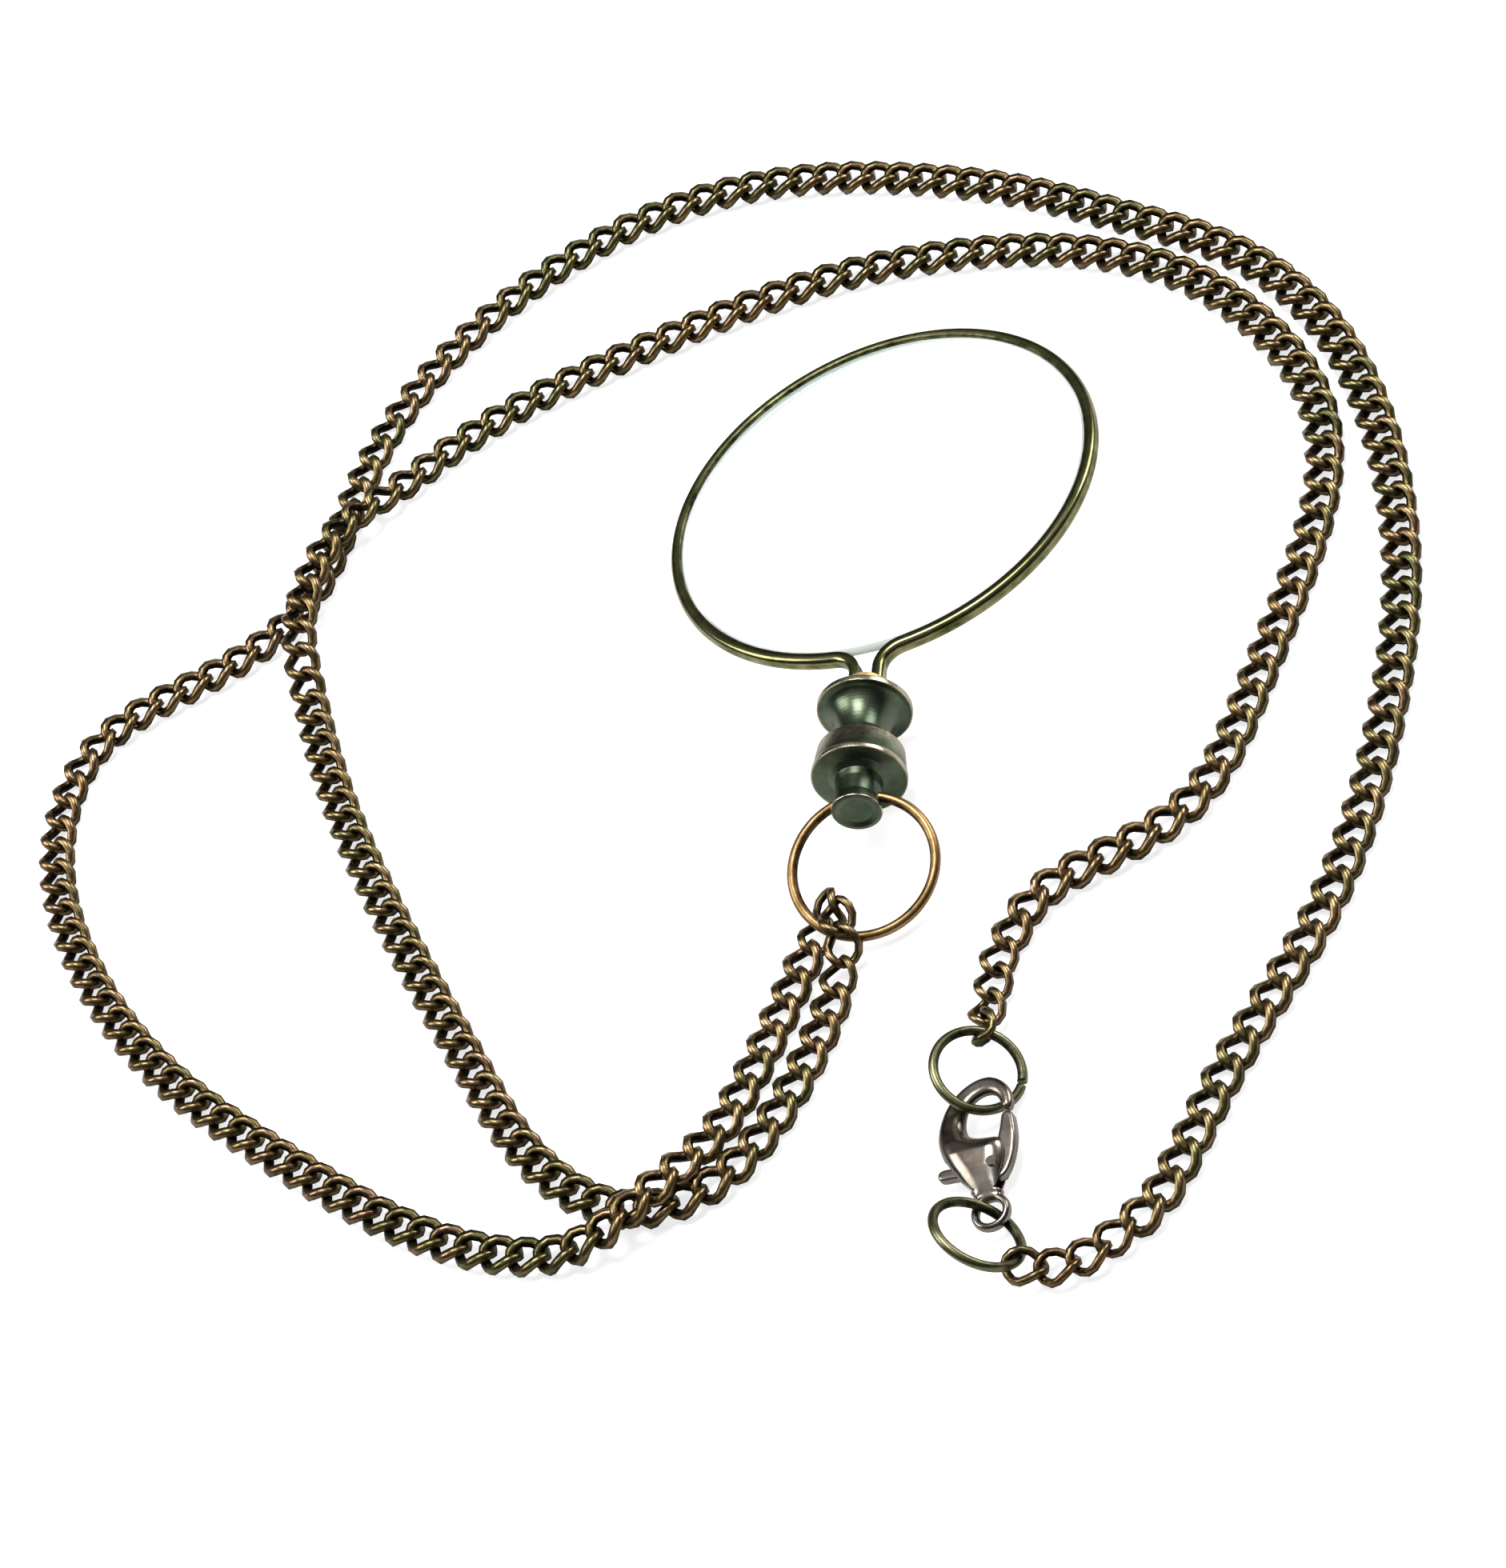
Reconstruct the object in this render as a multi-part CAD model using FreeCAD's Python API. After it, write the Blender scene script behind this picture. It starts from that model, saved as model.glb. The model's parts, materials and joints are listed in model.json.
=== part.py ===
"""A monocle on a neck chain, lying on a table, in millimetres, Z up.

The round eyewire holds a clear lens and ends in a brass collar on top of a
turned, spool-shaped stem.  A ring passes through the stem's stub, a long curb
chain threads through that ring, and the chain's two ends meet at a lobster
clasp: one end is on the ring that the clasp's hook holds, the other on the
ring in the clasp's eye.

The layout frame has its origin on the table under the lens centre, with the
stem along -Y.  At the end every solid is moved so that the origin is at the
middle of the bottom of the whole object's box.
"""
import FreeCAD, Part
import math
import os

V = FreeCAD.Vector
X, Y, Z = V(1, 0, 0), V(0, 1, 0), V(0, 0, 1)

# ---------------------------------------------------------------- sizes (mm)
# Eyewire and lens
WIRE_RADIUS = 17.95        # centre of the eyewire's section, from the lens centre
WIRE_DEEP = 1.00           # the section, radially
WIRE_THICK = 1.30          # the section, along the lens axis
GROOVE_WIDE = 0.70         # V groove round the inside, along the lens axis
GROOVE_DEEP = 0.35
BEND_RADIUS = 2.20         # each end turns out on this radius towards the stem
END_APART = 2.10           # between the centres of the two straight ends
LENS_THICK = 0.95
LENS_PLAY = 0.05           # between the lens edge and the groove
RIM_STEPS = 56             # flats round the eyewire's circle and the lens
BEND_STEPS = 4             # flats round each bend

# Turned stem, measured from the lens centre along the stem
COLLAR_TOP = WIRE_RADIUS + 3.40
COLLAR_RADIUS = 1.80
COLLAR_HIGH = 2.20
END_SOCKET = 1.50          # how far the eyewire's ends reach into the collar
END_PLAY = 0.04            # round the eyewire's ends in the collar
FLANGE_RADIUS = 3.72       # both rims of the spool
FLANGE_THICK = 0.62
NECK_RADIUS = 2.00
NECK_AT = 2.85             # from the upper rim's underside to the neck
BAND_AT = 4.46             # from the upper rim's underside to the lower band
BAND_HIGH = 2.54
BAND_TOP_RADIUS = 3.41
TENON_RADIUS = 1.10        # joins the two halves of the spool
TENON_LONG = 1.90
TENON_PLAY = 0.02
ROOT_RADIUS = 2.25
ROOT_HIGH = 0.35
STUB_RADIUS = 1.75
STUB_LONG = 3.09
STUB_END_RADIUS = 1.98
STUB_DISH = 0.15
HOLE_RADIUS = 0.78         # cross hole for the ring
HOLE_FROM_BAND = 1.93      # from the band's lower face to the hole's centre

# Ring through the stub
BAIL_RADIUS = 5.62
BAIL_WIRE = 0.80
BAIL_FAR_HIGH = 1.1596     # the far side's centre above the table
BAIL_ROLL = 5.5            # degrees, right side low
BAIL_HITCH = -33.0         # degrees round the ring, where the chain threads through

# Curb chain
LINK_LONG = 3.70
LINK_WIDE = 3.40
LINK_WIRE = 0.62
LINK_TWIST = -90.0         # degrees over the link's length
LINK_SLACK = 0.06          # between two links' wires when the chain lies straight
LINK_STEPS = 6             # corners round a link
LINK_SIDES = 3             # sides of its wire

# Small rings at the chain's ends
LOWER_RING_RADIUS = 3.35
UPPER_RING_RADIUS = 3.30
SMALL_RING_WIRE = 0.72
RING_SIDES = 6
RING_SPLIT = 9.0           # degrees left open in the upper ring
RING_SPLIT_AT = 86.0       # degrees round it, where the cut is
RING_SPLIT_STEP = 0.20     # the cut ends lie this far past each other

# Lobster clasp, measured from the centre of its eye, hook along +Y
CLASP_THICK = 2.60
CLASP_EYE_PLAY = 0.43      # more than the small ring's wire, radius of the eye's hole
CLASP_EYE_WIDE = 0.47      # of the eye's wall
CLASP_EYE_THICK = 0.60
CLASP_HOOK_THICK = 0.84
LEVER_THICK = 0.80
LEVER_PLAY = 0.06          # each side of the lever in its slot
PIN_RADIUS = 0.40
PIN_PLAY = 0.03
PIN_SEAT = 0.01
PIVOT = V(0.50, 3.55, 0)
SPRING_THICK = 0.15
TURNED_SIDES = 28          # flats round a turned piece

CLASP_EYE_HOLE = SMALL_RING_WIRE + CLASP_EYE_PLAY
CLASP_EYE_RADIUS = CLASP_EYE_HOLE + CLASP_EYE_WIDE

# Chain's route on the table: control points of a uniform cubic curve
OUTER_ROUTE = [
    (-8.5, -53.0), (-14.0, -63.5), (-23.0, -68.5), (-35.0, -63.5), (-43.0, -57.5),
    (-51.5, -50.5), (-59.5, -43.5), (-66.5, -35.0), (-72.0, -25.5), (-75.5, -15.5),
    (-74.0, -3.0), (-62.0, -0.5), (-52.5, 4.0), (-50.5, 16.5), (-47.0, 26.0),
    (-39.5, 34.5), (-30.0, 40.0), (-19.5, 42.5), (-8.5, 41.0), (1.5, 37.0),
    (11.5, 32.0), (20.0, 25.5), (29.0, 19.5), (36.0, 10.5), (40.0, 0.5),
    (42.0, -10.0), (42.5, -21.0), (41.0, -32.0), (38.5, -42.5), (34.5, -52.5),
    (28.0, -61.0), (22.9, -72.8)]
INNER_ROUTE = [
    (-3.7, -52.0), (-9.5, -64.0), (-20.0, -65.5), (-28.5, -56.5), (-32.5, -48.5),
    (-38.0, -38.5), (-42.5, -29.5), (-47.0, -20.0), (-50.5, -10.5), (-53.5, 0.0),
    (-52.5, 10.5), (-44.0, 18.0), (-35.5, 22.5), (-25.0, 25.0), (-15.0, 27.0),
    (-4.5, 28.0), (6.0, 26.5), (16.0, 23.5), (25.0, 18.0), (31.5, 10.0),
    (36.5, 0.5), (37.0, -9.5), (33.5, -20.0), (30.0, -29.0), (26.0, -40.0),
    (13.1, -41.6)]
LIFT = 1.72                # rise of a strand where it lies over the other
LIFT_REACH = 9.5           # half the length of such a rise
CROSSING = (-16.5, -64.6)  # the outer strand lies over the inner here
RIDING = (-51.9, 7.0)      # and the inner over the outer here
RIDING_FLAT = 4.5          # half the length that stays up there

# Links that hang at a ring: place in link pitches from the ring's wire, then
# the directions of the link's length and of its upper side
HITCH_LINKS = [
    ((-0.541, 0.203, -0.312), (0.366, 0.930, 0.033), (0.058, -0.059, 0.997)),
    ((0.057, 0.757, 0.129), (0.394, 0.345, 0.852), (-0.563, -0.642, 0.521)),
    ((0.408, 0.171, 0.412), (0.056, -0.998, -0.033), (-0.077, 0.029, -0.997)),
    ((0.528, -0.757, 0.100), (-0.078, -0.824, -0.562), (-0.073, 0.567, -0.821)),
    ((0.271, -1.654, -0.265), (-0.243, -0.961, -0.132), (0.047, 0.124, -0.991))]
OUTER_START = (-0.814, -0.191)
INNER_START = (0.153, -2.104)
LOWER_RING_LINKS = [
    ((3.024, 0.417, -0.259), (-0.803, -0.595, -0.021), (-0.039, 0.016, 0.999)),
    ((2.200, -0.073, -0.263), (-0.938, -0.346, 0.020), (0.000, 0.060, 0.999)),
    ((1.235, -0.289, -0.241), (-0.996, -0.062, 0.061), (0.057, 0.046, 0.997)),
    ((0.249, -0.141, -0.144), (-0.935, 0.289, 0.207), (0.198, -0.057, 0.978))]
OUTER_END = (3.490, 0.690)
UPPER_RING_LINKS = [
    ((0.203, 3.134, -0.535), (-0.353, -0.935, 0.040), (0.084, 0.012, 0.996)),
    ((0.031, 2.173, -0.504), (-0.199, -0.980, 0.024), (0.062, 0.012, 0.998)),
    ((-0.135, 1.183, -0.430), (-0.043, -0.990, 0.132), (-0.137, 0.137, 0.981)),
    ((-0.082, 0.265, -0.163), (0.086, -0.875, 0.476), (-0.835, 0.197, 0.514))]
INNER_END = (0.407, 3.618)

# Poses on the table
CLASP_EYE_AT = V(10.20, -70.95, 1.20)
CLASP_PITCH = 3.0          # degrees, hook end raised
CLASP_ROLL = -3.0          # degrees, right side raised
LOWER_RING_AT = V(9.788, -73.658, 2.761)
LOWER_RING_AXIS = V(0.661, 0.301, 0.686)
LOWER_RING_LINK_AT = V(12.166, -75.691, 1.547)
UPPER_RING_AT = V(9.372, -59.100, 2.172)
UPPER_RING_AXIS = V(0.552, -0.080, 0.828)
UPPER_RING_LINK_AT = V(9.909, -55.755, 2.168)

LINKS_PER_STRETCH = 15

parts = {}


# ---------------------------------------------------------------- shapes
def vec(triple):
    return V(*triple)


def faceted(corners, facets):
    """Solid from corner points and outward triangles."""
    mesh = Part.Shape()
    mesh.makeShapeFromMesh((corners, facets), 0.0005)
    solid = Part.Solid(mesh.Shells[0])
    if solid.Volume < 0:
        solid.reverse()
    return solid


def turned(profile):
    """Turned solid about -Y from (radius, distance along the stem) pairs, in even flats."""
    corners, facets, sides = [], [], TURNED_SIDES
    for radius, along in profile:
        for k in range(sides):
            a = 2 * math.pi * (k + 0.5) / sides
            corners.append(V(radius * math.cos(a), -along, radius * math.sin(a)))
    for ring in range(len(profile) - 1):
        for k in range(sides):
            a, b = ring * sides + k, ring * sides + (k + 1) % sides
            facets += [(a, b, b + sides), (a, b + sides, a + sides)]
    last = (len(profile) - 1) * sides
    for k in range(1, sides - 1):
        facets += [(0, k + 1, k), (last, last + k, last + k + 1)]
    return faceted(corners, facets).removeSplitter()


def round_bar(radius, start, end):
    """Cylinder between two points."""
    return Part.makeCylinder(radius, (end - start).Length, start, end - start)


def frame(centre, along, up):
    """Placement with X along the first direction and Z as near the second as can be."""
    x = V(along).normalize()
    z = (up - x * up.dot(x)).normalize()
    y = z.cross(x)
    m = FreeCAD.Matrix(x.x, y.x, z.x, centre.x, x.y, y.y, z.y, centre.y,
                       x.z, y.z, z.z, centre.z, 0, 0, 0, 1)
    return FreeCAD.Placement(m)


def wire_solid(path, middle, thickness, sides, closed=True):
    """Faceted wire of even thickness along a list of points.

    The section has its corners on a circle of radius thickness/2 and one flat
    side turned away from the middle point.
    """
    count, corners = len(path), []
    for k, p in enumerate(path):
        if closed:
            t = path[(k + 1) % count] - path[k - 1]
        else:
            t = path[min(k + 1, count - 1)] - path[max(k - 1, 0)]
        t.normalize()
        out = p - middle
        out = (out - t * out.dot(t)).normalize()
        side = t.cross(out)
        for j in range(sides):
            a = 2 * math.pi * (j + 0.5) / sides
            corners.append(p + (out * math.cos(a) + side * math.sin(a)) * (thickness / 2))
    facets = []
    for k in range(count if closed else count - 1):
        n = (k + 1) % count
        for j in range(sides):
            m = (j + 1) % sides
            a, b, c, d = k * sides + j, n * sides + j, n * sides + m, k * sides + m
            facets += [(a, b, c), (a, c, d)]
    if not closed:
        last = (count - 1) * sides
        for j in range(1, sides - 1):
            facets += [(0, j, j + 1), (last, last + j + 1, last + j)]
    return faceted(corners, facets)


def link_path(steps):
    """Centre line of a curb link: an oval whose plane turns along its length.

    x = (Lc/2) cos t, w = (Wc/2) sin t, turn = twist x/Lc and the point is
    (x, w cos turn, w sin turn), with Lc and Wc measured between wire centres.
    """
    long_, wide = LINK_LONG - LINK_WIRE, LINK_WIDE - LINK_WIRE
    points = []
    for k in range(steps):
        t = 2 * math.pi * (k + 0.5) / steps
        x = long_ / 2 * math.cos(t) / math.cos(math.pi / steps)
        w = wide / 2 * math.sin(t)
        turn = math.radians(LINK_TWIST) * x / long_
        points.append(V(x, w * math.cos(turn), w * math.sin(turn)))
    return points


LINK = wire_solid(link_path(LINK_STEPS), V(0, 0, 0), LINK_WIRE * 1.18, LINK_SIDES)
PITCH = LINK_LONG - 2 * LINK_WIRE - LINK_SLACK
REST = -LINK.BoundBox.ZMin          # height of the chain's middle over the table


def link_at(placement):
    s = LINK.copy()
    s.Placement = placement
    return s


def ring_frame(centre, axis):
    """Centre and two directions of a ring's plane; the first is level."""
    n = V(axis).normalize()
    level = n.cross(Z).normalize()
    return centre, level, n.cross(level), n


def ring_path(centre, e1, e2, n, radius, split=0.0, split_at=0.0, step=0.0, pieces=18):
    """Points round a ring; with a split the ends lie past each other by a step."""
    points = []
    if not split:
        for k in range(pieces):
            a = 2 * math.pi * k / pieces
            points.append(centre + (e1 * math.cos(a) + e2 * math.sin(a)) * radius)
        return points
    for k in range(pieces + 1):
        f = k / pieces
        a = math.radians(split_at + split / 2 + (360 - split) * f)
        near = max(0.0, abs(f - 0.5) * 2 - 0.55) / 0.45
        shift = n * (step / 2 * near * near * (1 if f > 0.5 else -1))
        points.append(centre + (e1 * math.cos(a) + e2 * math.sin(a)) * radius + shift)
    return points


# ---------------------------------------------------------------- eyewire, lens
def eyewire():
    """Grooved wire: most of a circle, with both ends turned out along the stem."""
    inner = WIRE_RADIUS - WIRE_DEEP / 2
    outer = WIRE_RADIUS + WIRE_DEEP / 2
    half, groove = WIRE_THICK / 2, GROOVE_WIDE / 2
    points = [V(0, -outer, -half), V(0, -outer, half), V(0, -inner, half),
              V(0, -inner, groove), V(0, -inner - GROOVE_DEEP, 0),
              V(0, -inner, -groove), V(0, -inner, -half)]
    section = Part.makePolygon(points + points[:1])
    reach = WIRE_RADIUS + BEND_RADIUS
    side = END_APART / 2 + BEND_RADIUS
    turn = math.degrees(math.asin(side / reach))
    drop = math.sqrt(reach * reach - side * side)

    def round_axis(wire, axis, degrees):
        copy = wire.copy()
        copy.rotate(axis, Z, degrees)
        return copy

    ends = []
    for sign in (1, -1):
        axis = V(sign * side, -drop, 0)
        start = round_axis(section, V(0, 0, 0), sign * turn)
        bend = [round_axis(start, axis, sign * (90 - turn) * (k + 1) / BEND_STEPS)
                for k in range(BEND_STEPS)]
        run = bend[-1].copy()
        run.translate(V(0, -(COLLAR_TOP + END_SOCKET - drop), 0))
        ends.append(bend + [run])
    circle = [round_axis(section, V(0, 0, 0), turn + (360 - 2 * turn) * k / RIM_STEPS)
              for k in range(RIM_STEPS + 1)]
    return Part.makeLoft(ends[0][::-1] + circle + ends[1], True, True)


def lens():
    """Disc with a bevelled edge that sits in the groove."""
    inner = WIRE_RADIUS - WIRE_DEEP / 2
    edge = inner + GROOVE_DEEP - LENS_PLAY
    slope = GROOVE_DEEP / (GROOVE_WIDE / 2)
    half = LENS_THICK / 2
    flat = edge - slope * half
    rings = []
    for radius, height in ((flat, -half), (edge, 0), (flat, half)):
        corners = []
        for k in range(RIM_STEPS):
            a = 2 * math.pi * k / RIM_STEPS
            corners.append(V(radius * math.cos(a), radius * math.sin(a), height))
        rings.append(Part.makePolygon(corners + corners[:1]))
    return Part.makeLoft(rings, True, True)


# ---------------------------------------------------------------- stem
FLANGE_TOP = COLLAR_TOP + COLLAR_HIGH
FLANGE_UNDER = FLANGE_TOP + FLANGE_THICK
BAND_TOP = FLANGE_UNDER + BAND_AT
BAND_END = BAND_TOP + BAND_HIGH
HOLE_AT = BAND_END + HOLE_FROM_BAND
STEM_END = BAND_END + ROOT_HIGH + STUB_LONG


def stem_collar():
    """Brass collar on the spool, with a socket for each end of the eyewire."""
    edge = 0.18
    body = turned([(COLLAR_RADIUS - edge, COLLAR_TOP),
                   (COLLAR_RADIUS, COLLAR_TOP + edge),
                   (COLLAR_RADIUS, FLANGE_TOP)])
    wide, high = WIRE_DEEP + 2 * END_PLAY, WIRE_THICK + 2 * END_PLAY
    for sign in (1, -1):
        body = body.cut(Part.makeBox(
            wide, END_SOCKET + END_PLAY, high,
            V(sign * END_APART / 2 - wide / 2, -COLLAR_TOP - END_SOCKET - END_PLAY, -high / 2)))
    return body


def upper_spool():
    """Upper rim, hollow-curved neck and the tenon under it."""
    cove = []
    depth, run = FLANGE_RADIUS - 0.25 - NECK_RADIUS, NECK_AT
    for k in range(5):
        a = math.radians(90.0 * k / 4)
        cove.append((NECK_RADIUS + depth * (1 - math.sin(a)),
                     FLANGE_UNDER + run * (1 - math.cos(a))))
    swell = NECK_RADIUS + 0.55 * (BAND_TOP_RADIUS - NECK_RADIUS)
    profile = ([(FLANGE_RADIUS - 0.12, FLANGE_TOP),
                (FLANGE_RADIUS, FLANGE_TOP + 0.12), (FLANGE_RADIUS, FLANGE_UNDER)]
               + cove + [(swell, BAND_TOP - 0.35), (swell + 0.3, BAND_TOP),
                         (TENON_RADIUS, BAND_TOP), (TENON_RADIUS, BAND_TOP + TENON_LONG)])
    return turned(profile)


def lower_spool():
    """Lower band and rim with the stub, bored for the tenon and across for the ring."""
    body = turned([
        (BAND_TOP_RADIUS, BAND_TOP), (FLANGE_RADIUS - 0.07, BAND_END - 0.5),
        (FLANGE_RADIUS, BAND_END - 0.4), (FLANGE_RADIUS, BAND_END), (ROOT_RADIUS, BAND_END),
        (STUB_RADIUS + 0.1, BAND_END + ROOT_HIGH), (STUB_RADIUS, BAND_END + ROOT_HIGH + 0.6),
        (STUB_RADIUS, STEM_END - 1.1), (STUB_END_RADIUS, STEM_END),
        (STUB_END_RADIUS - 0.35, STEM_END), (STUB_END_RADIUS - 0.75, STEM_END - STUB_DISH)])
    bore = round_bar(TENON_RADIUS + TENON_PLAY, V(0, -BAND_TOP + 1, 0),
                     V(0, -BAND_TOP - TENON_LONG - TENON_PLAY, 0))
    across = round_bar(HOLE_RADIUS, V(-ROOT_RADIUS - 1, -HOLE_AT, 0),
                       V(ROOT_RADIUS + 1, -HOLE_AT, 0))
    return body.cut(bore).cut(across)


# The stem end is raised: the upper rim and the eyewire's far side touch the table
TILT = math.atan2(FLANGE_RADIUS - WIRE_THICK / 2, WIRE_RADIUS + WIRE_DEEP / 2 + FLANGE_UNDER)
LENS_HIGH = ((WIRE_RADIUS + WIRE_DEEP / 2) * math.sin(TILT)
             + WIRE_THICK / 2 * math.cos(TILT))
MONOCLE = FreeCAD.Placement(V(0, 0, LENS_HIGH), FreeCAD.Rotation(X, -math.degrees(TILT)))
HOLE = MONOCLE.multVec(V(0, -HOLE_AT, 0))


def monocle_part(name, shape):
    s = shape.copy()
    s.Placement = MONOCLE.multiply(s.Placement)
    parts[name] = [s]


# ---------------------------------------------------------------- bail ring
DROP = math.asin((HOLE.z - BAIL_FAR_HIGH) / (2 * BAIL_RADIUS))
BAIL_OUT = V(0, -math.cos(DROP), -math.sin(DROP))
BAIL_SIDE = FreeCAD.Rotation(BAIL_OUT, -BAIL_ROLL).multVec(X)
BAIL_AT = HOLE + BAIL_OUT * BAIL_RADIUS


def bail_point(degrees):
    a = math.radians(degrees)
    return BAIL_AT + (BAIL_OUT * math.cos(a) + BAIL_SIDE * math.sin(a)) * BAIL_RADIUS


# ---------------------------------------------------------------- chain
def curve(points, pieces=12):
    """Uniform cubic curve through the route, with its end points mirrored."""
    c = [V(x, y, 0) for x, y in points]
    c = [c[0] * 2 - c[1]] + c + [c[-1] * 2 - c[-2]]
    out = []
    for i in range(len(c) - 3):
        last = i == len(c) - 4
        for k in range(pieces + (1 if last else 0)):
            t = k / pieces
            w = ((1 - t) ** 3, 3 * t ** 3 - 6 * t ** 2 + 4,
                 -3 * t ** 3 + 3 * t ** 2 + 3 * t + 1, t ** 3)
            out.append((c[i] * w[0] + c[i + 1] * w[1] + c[i + 2] * w[2] + c[i + 3] * w[3]) * (1 / 6))
    return out


def measured(points):
    """Distance along a line of points, at each of them."""
    run = [0.0]
    for a, b in zip(points, points[1:]):
        run.append(run[-1] + (b - a).Length)
    return run


def at_distance(points, run, s):
    """Point at a distance along the line."""
    lo, hi = 0, len(run) - 1
    while hi - lo > 1:
        mid = (lo + hi) // 2
        if run[mid] <= s:
            lo = mid
        else:
            hi = mid
    f = (s - run[lo]) / (run[hi] - run[lo])
    return points[lo] + (points[hi] - points[lo]) * f


def nearest(points, run, place):
    """Distance along the line of its point nearest to a place."""
    target = V(place[0], place[1], 0)
    best = min(range(len(points)), key=lambda k: (points[k] - target).Length)
    return run[best]


def hump(s, middle, flat=0.0):
    """Height of a strand that climbs over the other one."""
    d = abs(s - middle) - flat
    if d <= 0:
        return LIFT
    if d >= LIFT_REACH:
        return 0.0
    return LIFT * math.cos(math.pi / 2 * d / LIFT_REACH) ** 2


def strand(points, over, flat):
    """Links at even steps along a route, each lying between two joints of the chain."""
    line = curve(points)
    run = measured(line)
    count = max(1, round(run[-1] / PITCH))
    step = run[-1] / count
    middle = nearest(line, run, over)
    joints = []
    for k in range(count + 1):
        s = min(k * step, run[-1])
        p = at_distance(line, run, s)
        joints.append(V(p.x, p.y, REST + hump(s, middle, flat)))
    return [link_at(frame((a + b) * 0.5, b - a, Z)) for a, b in zip(joints, joints[1:])]


def hung(anchor, rows):
    """Links placed in pitches from a ring's wire."""
    return [link_at(frame(anchor + vec(place) * PITCH, vec(along), vec(up)))
            for place, along, up in rows]


def offset(anchor, row):
    return (anchor.x + row[0] * PITCH, anchor.y + row[1] * PITCH)


# ---------------------------------------------------------------- clasp
def rounded(points):
    """Closed wire from corner points and arcs: an arc's middle is marked by a third value."""
    edges, k, n = [], 0, len(points)
    while k < n:
        a, b = points[k], points[(k + 1) % n]
        if len(b) == 3:
            c = points[(k + 2) % n]
            edges.append(Part.Arc(V(a[0], a[1], 0), V(b[0], b[1], 0), V(c[0], c[1], 0)).toShape())
            k += 2
        else:
            edges.append(Part.LineSegment(V(a[0], a[1], 0), V(b[0], b[1], 0)).toShape())
            k += 1
    return Part.Wire(edges)


def slab(points, low, high):
    s = Part.Face(rounded(points)).extrude(V(0, 0, high - low))
    s.translate(V(0, 0, low))
    return s


GATE_TIP = 7.85            # top of the lever's gate
NOSE_LOW = 8.15            # underside of the hook's nose
TAB_END = -4.20            # the lever's thumb tab reaches this far left


def clasp_body():
    """Hook, belly and eye in one, thick at the belly, with a slot for the lever."""
    outline = [
        (0.95, 1.55), (0.95, 3.0), (0.45, 6.15), (-1.75, 6.60),
        (-2.05, 8.4, 1), (-1.30, 9.75), (-0.45, 10.12, 1), (0.45, 9.85), (0.85, 9.3, 1),
        (0.95, NOSE_LOW), (1.85, NOSE_LOW), (1.72, 9.5, 1), (1.15, 10.55), (-0.30, 11.35, 1),
        (-2.10, 10.75), (-3.75, 9.1, 1), (-4.05, 7.3), (-3.95, 6.0, 1), (-3.45, 4.65),
        (-2.50, 2.9, 1), (-1.20, 1.50), (-1.45, 0.6)]
    body = slab(outline + [(-0.6, 0.2), (0.6, 0.2), (1.35, 0.8)], -CLASP_THICK, CLASP_THICK)
    eye = Part.makeCylinder(CLASP_EYE_RADIUS, 2 * CLASP_THICK, V(0, 0, -CLASP_THICK))
    hole = Part.makeCylinder(CLASP_EYE_HOLE, 2 * CLASP_THICK, V(0, 0, -CLASP_THICK))
    half = CLASP_THICK / 2
    side = [(-CLASP_EYE_RADIUS - 1, CLASP_EYE_THICK / 2), (1.7, CLASP_EYE_THICK / 2),
            (3.2, half * 0.9), (4.4, half), (6.0, half), (8.6, CLASP_HOOK_THICK / 2 + 0.12),
            (12.0, CLASP_HOOK_THICK / 2)]
    loop = [V(-6, y, z) for y, z in side] + [V(-6, y, -z) for y, z in reversed(side)]
    shape = Part.Face(Part.makePolygon(loop + loop[:1])).extrude(V(12, 0, 0))
    body = body.fuse(eye).cut(hole).common(shape)
    slot = LEVER_THICK / 2 + LEVER_PLAY
    pocket = slab([(-5.5, 0.4), (-3.2, 2.05), (-0.9, 2.25), (3.0, 2.0), (3.0, NOSE_LOW - 0.02),
                   (-1.05, NOSE_LOW - 0.02), (-0.95, 6.0), (-0.75, 4.9), (-3.0, 4.55),
                   (-5.5, 4.7)], -slot, slot)
    pin = Part.makeCylinder(PIN_RADIUS + PIN_SEAT, 2 * CLASP_THICK, PIVOT - Z * CLASP_THICK)
    return body.cut(pocket).cut(pin)


def clasp_lever():
    """Gate, pivot boss and thumb tab in one."""
    outline = [
        (0.95, GATE_TIP), (1.75, GATE_TIP), (1.98, 6.2, 1), (1.60, 4.2), (1.25, 2.9, 1),
        (0.50, 2.62), (-0.50, 2.72), (-2.60, 3.25), (TAB_END + 0.3, 3.12), (TAB_END, 3.62, 1),
        (TAB_END + 0.3, 4.10), (-2.60, 4.02), (-0.45, 4.20), (0.30, 4.75, 1), (0.62, 5.6)]
    body = slab(outline, -LEVER_THICK / 2, LEVER_THICK / 2)
    bore = Part.makeCylinder(PIN_RADIUS + PIN_PLAY, 2 * CLASP_THICK, PIVOT - Z * CLASP_THICK)
    return body.cut(bore)


def clasp_pin():
    half = CLASP_THICK / 2 * 0.93
    return Part.makeCylinder(PIN_RADIUS, 2 * half, PIVOT - Z * half)


def clasp_spring():
    """Leaf spring along the pocket's wall, drawn as far as the open lever presses it."""
    wide = LEVER_THICK * 0.8
    return slab([(-0.92, 6.0), (-0.74, 4.98), (-0.74 + SPRING_THICK, 4.98),
                 (-0.92 + SPRING_THICK, 6.0)], -wide / 2, wide / 2)


CLASP = FreeCAD.Placement(CLASP_EYE_AT, FreeCAD.Rotation(Y, CLASP_ROLL)
                          .multiply(FreeCAD.Rotation(X, CLASP_PITCH)))


def clasp_part(name, shape):
    s = shape.copy()
    s.Placement = CLASP.multiply(s.Placement)
    parts[name] = [s]


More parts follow.
